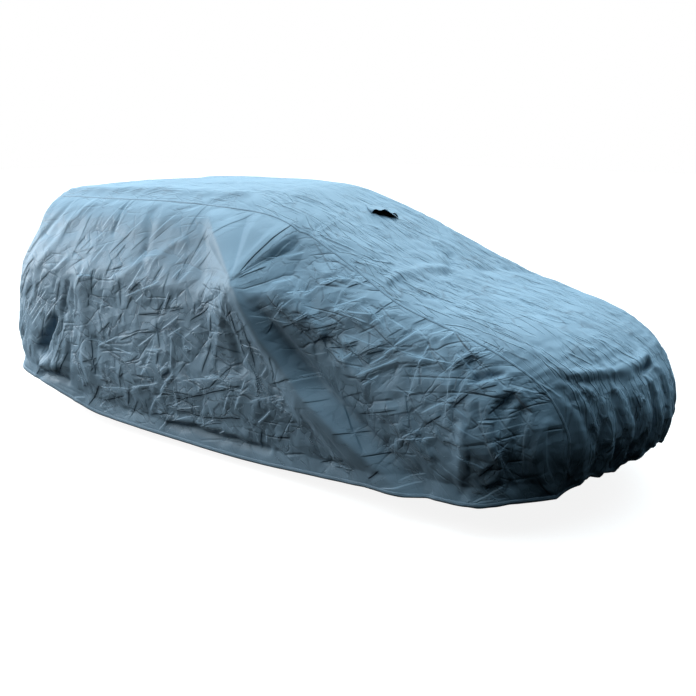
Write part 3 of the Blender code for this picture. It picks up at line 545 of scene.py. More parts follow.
def threads(rows, columns):
    """Pairs of slices that join every point to its neighbours along, across and both ways aslant."""
    every, front, back = slice(None), slice(0, -1), slice(1, None)
    pairs = []
    for s in (0, 1):
        low, high = slice(s, rows - 1, 2), slice(s + 1, rows, 2)
        left, right = slice(s, columns - 1, 2), slice(s + 1, columns, 2)
        pairs += [((low, every), (high, every), 0), ((every, left), (every, right), 1),
                  ((low, front), (high, back), 2), ((low, back), (high, front), 2)]
    return pairs


SETTLING = (
    # cells taken together, rounds, evening out in each round, height of the first noise
    (4, 60, 0.004, 0.0020), (2, 120, 0.010, 0.0012), (1, 60, 0.030, 0.0004),
)
THREAD_PULL = 0.9             # share of a thread's missing length that one round mends
HEADROOM = 0.003              # the cloth may stand this much higher over its form than it may sink


def settled(form, normal, start, spare, depth, pinned, seed):
    """Shift of cloth with spare length, let down on its form from shallow folds, in ever smaller cells.

    Threads between neighbouring points keep their length in the form times 1 + spare, so the cloth buckles.
    Each cell has one thread aslant, drawn at random, so that creases run every way. Each round also evens
    the shift out a little, holds it no deeper than depth and not much higher, and keeps the pinned edges.
    """
    draw = np.random.RandomState(seed)
    shift = None
    for step, rounds, even, noise in SETTLING:
        base, up, ease, room, first, hold = (
            values[::step, ::step].astype(np.float32)
            for values in (form, normal, spare, depth, start[..., None], pinned[..., None]))
        ease = 1 + ease
        rows, columns = base.shape[:2]
        first = first * up
        shift = first if shift is None else finer(shift, 2).astype(np.float32)
        shift += noise * draw.standard_normal((rows, columns, 1)).astype(np.float32) * up
        shift *= 1 - hold
        p = base + shift
        falls = draw.uniform(size=(rows - 1, columns - 1)) < 0.5
        pairs = []
        for a, b, way in threads(rows, columns):
            rest = np.linalg.norm(base[b] - base[a], axis=-1)
            rest *= (ease[a] + ease[b])[..., way] / 2 if way < 2 else (ease[a] + ease[b]).sum(-1) / 4
            share = np.float32(THREAD_PULL)
            if way == 2:
                fits = falls[a[0].start::2] == (a[1].start == 0)
                share = (THREAD_PULL * fits[:len(rest)]).astype(np.float32)
            pairs.append((a, b, rest, share))
        for _ in range(rounds):
            for a, b, rest, share in pairs:
                pull(p, a, b, rest, share)
            shift = p - base
            shift[1:-1] += even * (shift[2:] + shift[:-2] - 2 * shift[1:-1])
            shift[:, 1:-1] += even * (shift[:, 2:] + shift[:, :-2] - 2 * shift[:, 1:-1])
            lift = np.einsum("...i,...i", shift, up)
            back = np.maximum(-room - lift, 0) - 0.5 * np.maximum(lift - room - HEADROOM, 0)
            shift += back[..., None] * up
            shift *= 1 - hold
            p = base + shift
    return shift


def add_cloth(name, grid, u, v, flip, material, **marks):
    """A mesh of the grid's cells, with a UV map of metres u and v, and marks: values at its points."""
    rows, columns = grid.shape[:2]
    number = np.arange(rows * columns).reshape(rows, columns)
    quads = np.stack([number[:-1, :-1], number[1:, :-1], number[1:, 1:], number[:-1, 1:]], -1)
    quads = quads.reshape(-1, 4)[:, ::-1 if flip else 1]
    mesh = bpy.data.meshes.new(name)
    mesh.from_pydata(grid.reshape(-1, 3).tolist(), [], quads.tolist())
    mesh.validate()
    uv = np.stack(np.broadcast_arrays(u, v), -1).reshape(-1, 2)[quads.ravel()].astype(np.float32)
    mesh.uv_layers.new(name="cut").data.foreach_set("uv", uv.ravel())
    for mark, values in marks.items():
        data = mesh.attributes.new(mark, "FLOAT", "POINT").data
        data.foreach_set("value", values.ravel().astype(np.float32))
    mesh.materials.append(material)
    mesh.shade_smooth()
    thing = bpy.data.objects.new(name, mesh)
    bpy.context.scene.collection.objects.link(thing)
    return thing


def cut_metres(smooth):
    """Metres along every line of cells, and across from the middle line, both on the smooth form."""
    u, v = np.zeros((2,) + smooth.shape[:2])
    u[1:] = np.cumsum(np.linalg.norm(np.diff(smooth, axis=0), axis=-1), axis=0)
    v[:, 1:] = np.cumsum(np.linalg.norm(np.diff(smooth, axis=1), axis=-1), axis=1)
    return u, v - v[:, v.shape[1] // 2, None]


def surface(name, values):
    """A new material, its node tree, and its shader with plain values on its inputs."""
    material = bpy.data.materials.new(name)
    material.use_nodes = True
    shader = material.node_tree.nodes["Principled BSDF"]
    for key, value in values.items():
        shader.inputs[key].default_value = value
    return material, material.node_tree, shader


def node(tree, kind, values=(), **settings):
    """A new node with its settings, its inputs joined to other nodes' outputs or set to plain values."""
    made = tree.nodes.new("ShaderNode" + kind)
    for key, value in settings.items():
        setattr(made, key, value)
    for key, value in dict(values).items():
        if isinstance(value, bpy.types.NodeSocket):
            tree.links.new(value, made.inputs[key])
        else:
            made.inputs[key].default_value = value
    return made


def maths(tree, operation, *values):
    """Result of one operation on values."""
    return node(tree, "Math", dict(enumerate(values)), operation=operation).outputs[0]


def chained(tree, operation, first, *others):
    """Result of an operation on the first two values, then on that and the next, and so on."""
    for other in others:
        first = maths(tree, operation, first, other)
    return first


def ramp(tree, value, low, high, at_low=0.0, at_high=1.0):
    """Straight line from at_low to at_high while value goes from low to high, and level outside them."""
    return node(tree, "MapRange", {"Value": value, "From Min": low, "From Max": high,
                                   "To Min": at_low, "To Max": at_high}).outputs[0]


def clouds(tree, place, scale, detail):
    """Soft noise on the cloth."""
    return node(tree, "TexNoise", {"Vector": place, "Scale": scale, "Detail": detail},
                noise_dimensions="2D").outputs


def relief_bump(tree, shader, height, strength, distance):
    """Joins a height to the shader as a bump."""
    bump = node(tree, "Bump", {"Height": height, "Strength": strength, "Distance": distance})
    tree.links.new(bump.outputs["Normal"], shader.inputs["Normal"])


def painted(tree, shader, share, colour, other):
    """Joins a colour to the shader, mixed with the other where share is 1."""
    mixed = node(tree, "Mix", {0: share, 6: colour, 7: other}, data_type="RGBA")
    tree.links.new(mixed.outputs[2], shader.inputs["Base Color"])


def laid(tree, place, turn, along, across, seed):
    """The cut panel's metres, turned by an angle, a little warped, and scaled along and across that way."""
    turned = node(tree, "Mapping", {"Vector": place, "Rotation": (0, 0, math.radians(-turn)),
                                    "Location": (seed, 0.37 * seed, 0)}).outputs[0]
    warp = clouds(tree, turned, 4.0, 2.0)["Color"]
    warped = node(tree, "VectorMath", {0: warp, 1: (0.03, 0.03, 0), 2: turned}, operation="MULTIPLY_ADD")
    return node(tree, "Mapping", {"Vector": warped.outputs[0], "Scale": (along, across, 1)}).outputs[0]


def patches(tree, place, scale, start, seed):
    """0 or 1 in soft-edged patches that are 1 where clouds of a scale are above start."""
    moved = node(tree, "Mapping", {"Vector": place, "Location": (seed, 0.7 * seed, 0)}).outputs[0]
    return ramp(tree, clouds(tree, moved, scale, 1.0)["Fac"], start, start + 0.12)


def facets(tree, place, turn, along, across, slope, crease, width, start, seed):
    """Height of flat facets with straight creases between them, and where the creases are deep.

    The distance to the nearest of many points, counted along two directions, is a field of four-sided
    pyramids. Creases lie where two points are equally near, and are sunk there in broken patches.
    """
    spot = laid(tree, place, turn, along, across, seed)
    nearest, second = (
        node(tree, "TexVoronoi", {"Vector": spot, "Scale": 1.0}, feature=which, voronoi_dimensions="2D",
             distance="MANHATTAN").outputs["Distance"] for which in ("F1", "F2"))
    line = ramp(tree, maths(tree, "SUBTRACT", second, nearest), 0.0, width, 1.0, 0.0)
    there = patches(tree, place, 3.5, start, seed + 7)
    sunk = chained(tree, "MULTIPLY", line, there, patches(tree, place, 9.0, 0.42, seed + 17))
    amount = ramp(tree, there, 0.0, 1.0, 0.45 * slope, slope)
    pyramids = maths(tree, "MULTIPLY", nearest, amount)
    return maths(tree, "MULTIPLY_ADD", sunk, crease, pyramids), sunk


def streaks(tree, place, turn, along, across, height, width, start, seed):
    """Height of long thin creases, one way: sharp ridges where stretched clouds pass their middle value."""
    shade = clouds(tree, laid(tree, place, turn, along, across, seed), 1.0, 0.0)["Fac"]
    off = maths(tree, "ABSOLUTE", maths(tree, "SUBTRACT", shade, 0.5))
    line = ramp(tree, off, 0.0, width, height, 0.0)
    return maths(tree, "MULTIPLY", line, patches(tree, place, 5.0, start, seed + 27))


DARK_BLUE = (0.158, 0.248, 0.330, 1)
LIGHT_BLUE = (0.182, 0.282, 0.372, 1)
# Painted shade: the sunk creases are mixed towards this near-black blue, for the shade that falls in them
# and the coating worn there.
CREASE_SHADE_AND_WEAR_BLUE = (0.05, 0.08, 0.11, 1)
DULL = {"Roughness": 0.55, "Specular IOR Level": 0.20, "Sheen Weight": 0.10}
COATED = {**DULL, "Specular IOR Level": 0.30, "Sheen Roughness": 0.4, "Sheen Tint": (0.60, 0.82, 1.0, 1)}
WEAVE_SCALE, WEAVE_HEIGHT = 1400.0, 0.00002
EDGE_HALF, EDGE_REACH, EDGE_SHARE = 0.003, 0.022, 0.40   # a crease's step, its reach, share of its relief
CREASE_SHADE_AND_WEAR_SHARE = 0.45


def taffeta(name, facet_table, streak_table):
    """Dull coated taffeta: a plain weave, a slightly uneven colour, and the creases it was packed with.

    The creases' heights add up in the bump, and the sunk ones are painted darker: painted shade in the
    creases, and the coating worn there.
    """
    material, tree, shader = surface(name, COATED)
    place = node(tree, "UVMap", uv_map="cut").outputs["UV"]
    reliefs, sinks = zip(*(facets(tree, place, *row) for row in facet_table))
    height = chained(tree, "ADD", *reliefs, *(streaks(tree, place, *row) for row in streak_table))
    creased, beside, deep = (node(tree, "Attribute", attribute_name=mark).outputs["Fac"]
                             for mark in ("creased", "beside", "deep"))
    height = maths(tree, "MULTIPLY", height, creased)
    sunk = maths(tree, "MULTIPLY", chained(tree, "MAXIMUM", *sinks), creased)
    jump = ramp(tree, beside, -EDGE_HALF, EDGE_HALF, -1.0, 1.0)
    ebb = ramp(tree, maths(tree, "ABSOLUTE", beside), 0.0, EDGE_REACH, EDGE_SHARE, 0.0)
    height = maths(tree, "ADD", height, chained(tree, "MULTIPLY", jump, ebb, deep))
    weave = node(tree, "TexChecker", {"Vector": place, "Scale": WEAVE_SCALE}).outputs["Fac"]
    relief_bump(tree, shader, maths(tree, "MULTIPLY_ADD", weave, WEAVE_HEIGHT, height), 1.0, 1.0)
    tint = node(tree, "ValToRGB", {"Fac": clouds(tree, place, 2.2, 6.0)["Fac"]})
    for stop, position, colour in zip(tint.color_ramp.elements, (0.30, 0.72), (DARK_BLUE, LIGHT_BLUE)):
        stop.position, stop.color = position, colour
    # Painted shade in the sunk creases, together with the coating worn there.
    painted(tree, shader, maths(tree, "MULTIPLY", sunk, CREASE_SHADE_AND_WEAR_SHARE), tint.outputs["Color"], CREASE_SHADE_AND_WEAR_BLUE)
    return material


CENTRE_CLOTH = taffeta("centre_taffeta", (
    # turn, cells a metre along, across, slope, depth of the creases, their width, start, seed
    (2, 3.0, 8.0, -0.009, -0.0016, 0.14, 0.44, 8),
    (38, 4.0, 7.0, 0.005, -0.0014, 0.12, 0.50, 12),
), (
    # turn, clouds a metre along, across, height, width, start, seed
    (3, 1.4, 15, -0.0056, 0.052, 0.44, 1),
    (-8, 1.9, 20, 0.0042, 0.060, 0.45, 2),
    (14, 1.6, 12, -0.0052, 0.044, 0.47, 3),
    (-32, 0.8, 7, 0.0030, 0.030, 0.54, 4),
))
coarse = centre_grid(CELLS_UP // COARSE, CELLS_ALONG // COARSE, CELLS_ACROSS // COARSE)


def dressed(coarse):
    """A panel in its small cells: smooth form, outward normals, folded form and the creases' places."""
    smooth, normal = finer(coarse, COARSE), unit(finer(outward(coarse), COARSE))
    return smooth, normal, *folded(smooth, normal)


SEWN_CELLS = 6                # the cloth lies flat over this many cells beside a seam


def from_edges(rows, columns, side_panel):
    """0 at the sewn edges, rising to 1 away from them: two long edges, or a side panel's ends and top."""
    row, column = np.arange(rows)[:, None], np.arange(columns)[None, :]
    first = np.minimum(row, rows - 1 - row) if side_panel else column
    away = np.minimum(first, columns - 1 - column)
    return np.clip(away / SEWN_CELLS, 0, 1) * np.ones((rows, columns))


CENTRE_STREWN = np.array([
    # from and to metres along the panel and y
    (120, 1.3, -0.6, 3.4, 0.6, 0, 20, 0.15, 0.55, 0.012, 0.020, 0.0020),     # along the top
    (160, 3.3, -0.6, 4.6, 0.6, 0, 45, 0.10, 0.45, 0.012, 0.024, 0.0040),     # front slope
    (150, 4.4, -0.65, 5.8, 0.65, 0, 50, 0.10, 0.40, 0.012, 0.024, 0.0040),
    (70, 0.0, -0.6, 1.3, 0.6, 0, 60, 0.15, 0.40, 0.016, 0.030, 0.0060),      # rear
    (34, 0.0, -0.6, 0.3, 0.6, 0, 12, 0.20, 0.40, 0.014, 0.026, 0.0140),      # gathers at the rear hem
    (44, 6.0, -0.6, 6.4, 0.6, 0, 10, 0.20, 0.50, 0.014, 0.026, 0.0160),      # gathers at the front hem
])
CENTRE_LOOSENESS = (
    # on the top, more of it in front, more of it on the ends
    (0.002, 0.006, 0.010),    # spare length along the panel
    (0.005, 0.009, 0.020),    # spare length across
    (0.003, 0.004, 0.014),    # depth of the crumple
)
GATHER_SPARE, GATHER_REACH = 0.06, 0.16     # at the hems with elastic
CREASED, MORE_CREASED = 0.55, 0.45          # share of the packing creases that is left
smooth, normal, form, beside, deep = dressed(coarse)
drop = np.array([0.0, 0.0, 1.54132])
x, y = smooth[..., 0], smooth[..., 1]
along = np.broadcast_to(lengths(smooth[:, CELLS_ACROSS // 2])[:, None], x.shape)
start = fold_relief(along, y, strewn(np.random.RandomState(5), CENTRE_STREWN))
on_top, front_part = rising(normal[..., 2], 0.3, 0.4), rising(x, 0.1, 0.4)
spare_along, spare_across, depth = (a + b * front_part + c * (1 - on_top) for a, b, c in CENTRE_LOOSENESS)
spare_across += GATHER_SPARE * np.exp(-np.minimum(along, along.max() - along) / GATHER_REACH)
spare = np.stack([spare_along, spare_across], axis=-1) * from_edges(*x.shape, False)[..., None]
pinned = np.zeros(x.shape)
pinned[:, [0, -1]] = 1
centre_points = form + settled(form, normal, start, spare, depth, pinned, 11) - drop
centre_normal = normal
creased = CREASED + MORE_CREASED * rising(x, 0.1, 0.5)
centre = add_cloth("centre_cloth", centre_points, *cut_metres(smooth), True, CENTRE_CLOTH,
                   creased=creased, beside=beside, deep=deep)
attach(centre, "root")
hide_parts("centre_panel")

# ---------------------------------------------------------------- side panels
# Two shaped panels of the same taffeta, sewn to the centre panel. Each is drawn out to a tent near the
# front, hangs in large folds from there, and is crumpled all over where it hangs free.
SIDE_CORE = 0.15              # the side is found on lines from this far beside the middle


def side_grid(seam, side, up, along_cells):
    """Points of a side panel between hem and seam: a Coons patch in the side view, found on the side."""
    left = seam[:up + 1, [0, 2]]
    top = seam[up:-up, [0, 2]]
    right = seam[-up - 1:, [0, 2]][::-1]
    share = np.linspace(0, 1, along_cells + 1)
    hem_x = left[0, 0] + (right[0, 0] - left[0, 0]) * share
    hem_z = np.interp(hem_x, *HEM_CURVE.T)
    hem_z += (left[0, 1] - hem_z[0]) * (1 - share) ** 8 + (right[0, 1] - hem_z[-1]) * share**8
    bottom = np.stack([hem_x, hem_z], axis=-1)
    u = share[:, None, None]
    v = np.linspace(0, 1, up + 1)[None, :, None]
    along = (1 - v) * bottom[:, None] + v * top[:, None]
    upwards = (1 - u) * left[None] + u * right[None]
    corners = (1 - u) * ((1 - v) * left[0] + v * left[-1]) + u * ((1 - v) * right[0] + v * right[-1])
    flat = along + upwards - corners
    start = np.stack([flat[..., 0], np.full(flat.shape[:2], side * SIDE_CORE), flat[..., 1]], axis=-1)
    direction = np.broadcast_to(np.array([0.0, side, 0.0]), start.shape)
    return joined(onto_cover(start, direction, nearest=0.0, furthest=1.1), seam, up)


def joined(grid, seam, up):
    """The side panel's grid with its two ends and its upper edge on the seam."""
    grid[0] = seam[:up + 1]
    grid[:, -1] = seam[up:-up]
    grid[-1] = seam[-up - 1:][::-1]
    return grid


SIDE_STREWN = np.array([
    # from and to x and height
    (80, -2.1, 0.95, 0.0, 1.42, 55, 35, 0.10, 0.40, 0.014, 0.026, 0.0020),   # upper side
    (60, -1.2, 0.80, -0.1, 1.15, 50, 40, 0.08, 0.22, 0.012, 0.020, 0.0030),
    (160, -1.3, 0.12, 0.6, 0.95, 0, 90, 0.10, 0.36, 0.016, 0.034, 0.0040),   # the long free middle
    (50, -2.1, 0.25, -1.3, 0.95, 65, 25, 0.15, 0.45, 0.014, 0.028, 0.0050),  # rear quarter
    (60, 0.4, 0.80, 1.6, 1.30, 20, 50, 0.10, 0.40, 0.016, 0.034, 0.0040),    # below the front slope
    (80, 0.5, 0.15, 2.0, 0.90, -35, 30, 0.10, 0.45, 0.016, 0.034, 0.0040),
    (40, 1.3, 0.20, 2.1, 0.80, 90, 25, 0.10, 0.40, 0.014, 0.030, 0.0050),
])
SIDE_CLOTH = taffeta("side_taffeta", (
    # turn, cells a metre along, across, slope, depth of the creases, their width, start, seed
    (20, 3.6, 6.0, -0.014, -0.0030, 0.12, 0.42, 1),
    (-48, 5.5, 10.0, 0.008, -0.0026, 0.14, 0.44, 5),
    (75, 9.0, 15.0, -0.0026, -0.0016, 0.16, 0.48, 11),
), (
    # turn, clouds a metre along, across, height, width, start, seed
    (12, 1.2, 9, -0.0034, 0.050, 0.50, 31),
    (-35, 1.4, 11, -0.0032, 0.050, 0.50, 41),
))
TAUT_MIDDLE, TAUT_SPREAD = (0.12, 1.25), (0.30, 0.17)    # the cloth is taut here, above the tent
CALM_STRIP = TENT_RIDGE * (1, 1, 0, 1.55) + (0, 0, 0.95, 0)     # and along the fold down from it
CALM_MOST, TAUT_SHARE = 0.9, 0.95
SIDE_LOOSENESS = (
    # everywhere, more of it low down and in front
    (0.004, 0.006),           # spare length
    (0.003, 0.003),           # depth of the crumple
)
HEM_STRAIGHT = 0.07           # below this height over the hem there is less length to spare
HEM_SPARE, HEM_CREASED = 0.15, 0.35       # the shares of spare length and creases left at the hem
side_points, side_normals, panels = {}, {}, {}
for name, side, column, seed in (("right", -1, 0, 23), ("left", 1, -1, 37)):
    smooth, normal, side_form, beside, deep = dressed(
        side_grid(coarse[:, column], side, CELLS_UP // COARSE, CELLS_ALONG // COARSE))
    joined(side_form, form[:, column], CELLS_UP)
    x, z = smooth[..., 0], smooth[..., 2]
    corner, ahead, low = rising(x, 1.65, 0.15), rising(x, 0.3, 0.2), rising(-z, -1.15, 0.25)
    out_x, out_z = (x - TAUT_MIDDLE[0]) / TAUT_SPREAD[0], (z - TAUT_MIDDLE[1]) / TAUT_SPREAD[1]
    tight = np.maximum(np.exp(-(out_x**2 + out_z**2)), np.clip(long_fold(x, z, CALM_STRIP), 0, CALM_MOST))
    loose, sewn_flat = 1 - TAUT_SHARE * tight, from_edges(*x.shape, True)
    looser, over = np.maximum(low, 0.6 * ahead), over_hem(x, z)
    start = (1 - 0.8 * corner) * fold_relief(x, z, strewn(np.random.RandomState(seed), SIDE_STREWN))
    start = start * loose * sewn_flat
    creased = loose * (CREASED + MORE_CREASED * np.maximum(low, ahead))
    creased = creased * np.clip(over / FLARE_HEIGHT, HEM_CREASED, 1)
    spare, depth = (a + b * looser for a, b in SIDE_LOOSENESS)
    spare = spare * loose * sewn_flat * np.clip(over / HEM_STRAIGHT, HEM_SPARE, 1)
    spare = np.stack([spare * (1 + corner), spare * (1 - 0.9 * corner)], axis=-1)
    pinned = np.zeros(x.shape)
    pinned[[0, -1]] = 1
    pinned[:, -1] = 1
    points = side_form + settled(side_form, normal, start, spare, depth, pinned, seed) - drop
    side_points[name], side_normals[name] = points, normal
    cloth = add_cloth(f"{name}_side_cloth", points, *cut_metres(smooth), side > 0, SIDE_CLOTH,
                      creased=creased, beside=beside, deep=deep)
    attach(cloth, "root")
    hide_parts(f"side_panel_{name}")
    panels[name] = cloth

# ---------------------------------------------------------------- seams
# The panels are joined by a flat-felled seam: their edges are folded into each other, laid flat and
# stitched down in two rows. It shows as a narrow raised band that draws the cloth into tiny puckers.
THREAD_BLUE = (0.22, 0.31, 0.40, 1)
THREAD_HALF, THREAD_GONE = 0.0004, 0.0012    # from a row's middle


def stitched(name, rows_at, pitch, colour, thread):
    """The panels' cloth, folded over, with rows of stitches: short raised dashes at places across it."""
    material, tree, shader = surface(name, DULL)
    place = node(tree, "UVMap", uv_map="cut").outputs["UV"]
    along, across = node(tree, "SeparateXYZ", {"Vector": place}).outputs[:2]
    dash = ramp(tree, maths(tree, "PINGPONG", along, pitch), pitch * 0.25, pitch * 0.4)
    away = (maths(tree, "ABSOLUTE", maths(tree, "SUBTRACT", across, row)) for row in rows_at)
    rows = (ramp(tree, off, THREAD_HALF, THREAD_GONE, 1.0, 0.0) for off in away)
    stitch = maths(tree, "MULTIPLY", chained(tree, "MAXIMUM", *rows), dash)
    painted(tree, shader, stitch, colour, thread)
    pucker = node(tree, "TexNoise", {"Vector": place, "Scale": 60.0, "Detail": 3.0}).outputs["Fac"]
    relief_bump(tree, shader, maths(tree, "MULTIPLY_ADD", stitch, 0.5, pucker), 0.8, 0.0015)
    return material


def add_band(name, grid, across, material, flip):
    """A narrow band of cloth: rows of points along it, UV in metres along it and at the places across."""
    u = lengths(grid[:, grid.shape[1] // 2])[:, None]
    thing = add_cloth(name, grid, u, np.array(across)[None, :], flip, material)
    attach(thing, "root")
    return thing


SEAM_ACROSS = (-0.0078, -0.0070, -0.0035, 0.0, 0.0035, 0.0070, 0.0078)
SEAM_HEIGHTS = (-0.0004, 0.0012, 0.0021, 0.0024, 0.0021, 0.0012, -0.0004)
SEAM_CLOTH = stitched("seam_taffeta", (-0.0045, 0.0045), 0.0024, DARK_BLUE, THREAD_BLUE)
PUCKER, PUCKER_WAVES = 0.25, (150, 41)     # share of the height; radians to a metre


def seam_band(line, inside, outside, up):
    """Points of a seam's band: from its line across on to the centre panel and on to the side panel.

    The heights of its section grow and shrink along it by the product of two sines, where the thread pulls.
    """
    reach = np.array(SEAM_ACROSS)[:, None]
    to_centre, to_side = unit(inside - line)[:, None], unit(outside - line)[:, None]
    first, second = (np.sin(lengths(line) * waves) for waves in PUCKER_WAVES)
    puckered = 1 + PUCKER * first * second
    raised = np.array(SEAM_HEIGHTS)[None, :, None] * puckered[:, None, None] * up[:, None]
    return line[:, None] + np.where(reach < 0, -reach * to_centre, reach * to_side) + raised


for name, column, inner in (("right", 0, 1), ("left", -1, -2)):
    points = side_points[name]
    outside = np.concatenate([points[1, :CELLS_UP], points[:, -2], points[-2, :CELLS_UP][::-1]])
    band = seam_band(centre_points[:, column], centre_points[:, inner], outside, centre_normal[:, column])
    add_band(f"{name}_seam", band, SEAM_ACROSS, SEAM_CLOTH, name == "right")

# ---------------------------------------------------------------- hems
# All round its lower edge the cover is turned up twice and stitched. Elastic in the front and rear hems
# draws them together; the side hems hang nearly straight.
HEM_ACROSS = (-0.010, -0.001, 0.0, 0.010, 0.021, 0.0225)
HEM_HEIGHTS = (-0.0022, -0.0022, 0.0012, 0.0024, 0.0018, -0.0004)
HEM_CLOTH = stitched("hem_taffeta", (0.018,), 0.003, (0.170, 0.264, 0.350, 1), (0.24, 0.34, 0.43, 1))


def hem_band(edge, inside, up):
    """Points of a turned hem: up the inside, round the edge, and up the outside to its stitched fold."""
    reach = np.abs(np.array(HEM_ACROSS))
    return (edge[:, None] + reach[None, :, None] * unit(inside - edge)[:, None]
            + np.array(HEM_HEIGHTS)[None, :, None] * up[:, None])


hems = {
    "rear_hem": (centre_points[0], centre_points[2], centre_normal[0], False),
    "front_hem": (centre_points[-1], centre_points[-3], centre_normal[-1], True),
}
for name, points in side_points.items():
    hems[f"{name}_hem"] = points[:, 0], points[:, 2], side_normals[name][:, 0], name == "left"
for name, (edge, inside, up, flip) in hems.items():
    hems[name] = add_band(name, hem_band(edge, inside, up), HEM_ACROSS, HEM_CLOTH, flip)

# ---------------------------------------------------------------- vent hood
# A small scoop of the same cloth on the front slope, sewn down round its back and sides and open to the
# front, with a dark net under it that lets air through. The panel runs on under the net, so the net's holes
# are
# painted near black: painted shade of the opening behind them.
VENT_MIDDLE, VENT_HALF = (0.547, 0.020), 0.088
VENT_ALONG = (0.400, 0.9165)  # the way that its mouth runs, a little askew
VENT_LENGTH, VENT_TAPER, VENT_RISE = 0.14, 0.45, 0.034
MOUTH_CURVE, HOOD_LIFT, HOOD_UNEVEN = 0.012, 0.0022, 0.14
SECOND_LAYER = 0.0016
NET_SHARE, NET_LENGTH, NET_BACK, NET_LIFT = 0.92, 0.1, 0.006, 0.0012
MEAN_FROM, MEAN_SPREAD = 0.25, 6e-5   # metres; square metres


def resting(across, back, lift):
    """Points on the centre panel at metres along the mouth and behind it, plus lift.

    Their height is the mean of the panel's points, each counted by a bell of its distance.
    """
    x = VENT_MIDDLE[0] + VENT_ALONG[0] * across - VENT_ALONG[1] * back
    y = VENT_MIDDLE[1] + VENT_ALONG[1] * across + VENT_ALONG[0] * back
    flat = centre_points.reshape(-1, 3)
    near = flat[np.hypot(flat[:, 0] - VENT_MIDDLE[0], flat[:, 1] - VENT_MIDDLE[1]) < MEAN_FROM]
    squared = (x.ravel()[:, None] - near[:, 0]) ** 2 + (y.ravel()[:, None] - near[:, 1]) ** 2
    weight = np.exp(-squared / MEAN_SPREAD)
    height = (weight @ near[:, 2] / weight.sum(1)).reshape(x.shape)
    return np.stack([x, y, height + lift], axis=-1)


def narrowed(half, across, back):
    """Metres along the mouth, narrower by the square of the way back."""
    return half * (1 - VENT_TAPER * back**2) * across


def hood_grid(across, back):
    """Points of the hood: a flat-topped arch over the panel that falls to the sewn edge behind.

    Its height is a power of 1 less the fourth power of across, times a power of 1 less back, made a little
    uneven by two waves. The mouth bows forwards in a parabola.
    """
    behind = VENT_LENGTH * back - MOUTH_CURVE * (1 - across**2) * (1 - back)
    rise = VENT_RISE * (1 - across**4) ** 0.8 * (1 - back) ** 1.4
    rise = rise * (1 + HOOD_UNEVEN * np.sin(7 * across + 2) * np.cos(3 * back)) + HOOD_LIFT
    return resting(narrowed(VENT_HALF, across, back), behind, rise)


across = np.linspace(-1, 1, 41)
back = np.linspace(0, 1, 25)[:, None]
hood_cloth = stitched("vent_taffeta", (0.006,), 0.003, DARK_BLUE, THREAD_BLUE)
hood = add_band("vent_hood_cloth", hood_grid(across, back), VENT_HALF * across, hood_cloth, True)
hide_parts("vent_hood")
thicken = hood.modifiers.new("doubled cloth", "SOLIDIFY")
thicken.thickness = SECOND_LAYER
thicken.offset = 1.0

net, net_tree, net_shader = surface("net_with_painted_opening_shade", {"Roughness": 0.9})
net_place = node(net_tree, "TexCoord").outputs["Object"]
# Painted shade: the net's holes are near black, for the unlit opening behind them. Its threads have the
# net's own dark colour.
holes = node(net_tree, "TexVoronoi", {"Vector": net_place, "Scale": 900.0}).outputs["Distance"]
net_tree.links.new(ramp(net_tree, holes, 0.3, 0.5, 0.002, 0.02), net_shader.inputs["Base Color"])
net_across = narrowed(NET_SHARE * VENT_HALF, across, back)
net_points = resting(net_across, NET_BACK + NET_LENGTH * back, NET_LIFT)
net_band = add_band("vent_net", net_points, VENT_HALF * across, net, True)

# ---------------------------------------------------------------- floor, light and camera
# A pale floor that gives off a little light of its own, a white backdrop that only the camera sees, a soft
# dome of light and two soft lamps at the rear quarter, and the photo's view.
bpy.ops.mesh.primitive_plane_add(size=60, location=(0, 0, -drop[2]))
floor = bpy.context.object
floor.name = "floor"
floor.data.materials.append(surface("pale_floor", {
    "Base Color": (0.25, 0.25, 0.25, 1), "Roughness": 0.9,
    "Emission Color": (1, 1, 1, 1), "Emission Strength": 0.88})[0])
floor.visible_diffuse = False
floor.visible_glossy = False

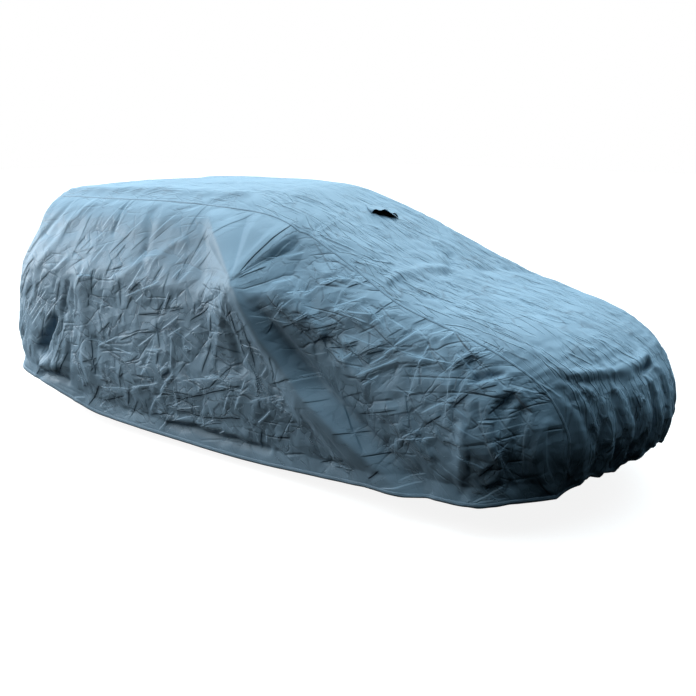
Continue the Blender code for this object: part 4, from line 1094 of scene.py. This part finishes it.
# The dome is blue-white, brightest above, behind and to the left, and dark near the ground.
DOME_AXIS, DOME_POWER, DOME_PEAK, DOME_REST = (-0.37, 0.42, 0.83), 3.0, 5.9, 0.03
world = bpy.data.worlds.new("studio")
bpy.context.scene.world = world
world.use_nodes = True
sky = world.node_tree
way = node(sky, "TexCoord").outputs["Generated"]
towards = node(sky, "VectorMath", {0: way, 1: DOME_AXIS}, operation="DOT_PRODUCT").outputs["Value"]
lobe = maths(sky, "POWER", maths(sky, "MAXIMUM", towards, 0.0), DOME_POWER)
above = ramp(sky, node(sky, "SeparateXYZ", {"Vector": way}).outputs["Z"], -0.05, 0.45)
strength = maths(sky, "MULTIPLY", maths(sky, "MULTIPLY_ADD", lobe, DOME_PEAK, DOME_REST), above)
dome = node(sky, "Background", {"Color": (0.71, 0.91, 1.0, 1), "Strength": strength})
backdrop = node(sky, "Background", {"Color": (1, 1, 1, 1), "Strength": 1.0})
seen = node(sky, "LightPath").outputs["Is Camera Ray"]
choice = node(sky, "MixShader", {0: seen, 1: dome.outputs[0], 2: backdrop.outputs[0]})
sky.links.new(choice.outputs[0], sky.nodes["World Output"].inputs["Surface"])

SOFT_LIGHTS = (
    # name, watts, size, place, aim, colour
    ("beside", 104, 2.5, (-2.8, -4.2, 1.1), (-0.9, -0.9, -0.3), (1.0, 0.975, 0.94)),
    ("from_behind", 200, 2.0, (-6.2, -1.8, 0.5), (-1.6, -0.6, -0.6), (0.94, 0.97, 1.0)),
)
for name, watts, size, place, aim, colour in SOFT_LIGHTS:
    data = bpy.data.lights.new(name, "AREA")
    data.energy, data.size, data.color = watts, size, colour
    lamp = bpy.data.objects.new(name, data)
    bpy.context.scene.collection.objects.link(lamp)
    away = np.array(place, float) - np.array(aim, float)
    lamp.location = place
    lamp.rotation_euler = (math.acos(away[2] / np.linalg.norm(away)), 0, math.atan2(away[0], -away[1]))

AZIMUTH, PITCH = math.radians(39.174), math.radians(12.969)
lens = bpy.data.cameras.new("view")
lens.sensor_width = 36
lens.lens = 51.72
camera = bpy.data.objects.new("view", lens)
camera.location = (4.065, -4.641, 1.931 - drop[2])
camera.rotation_euler = (math.pi / 2 - PITCH, 0, AZIMUTH)
bpy.context.scene.collection.objects.link(camera)
bpy.context.scene.camera = camera
bpy.context.scene.view_settings.view_transform = "Standard"
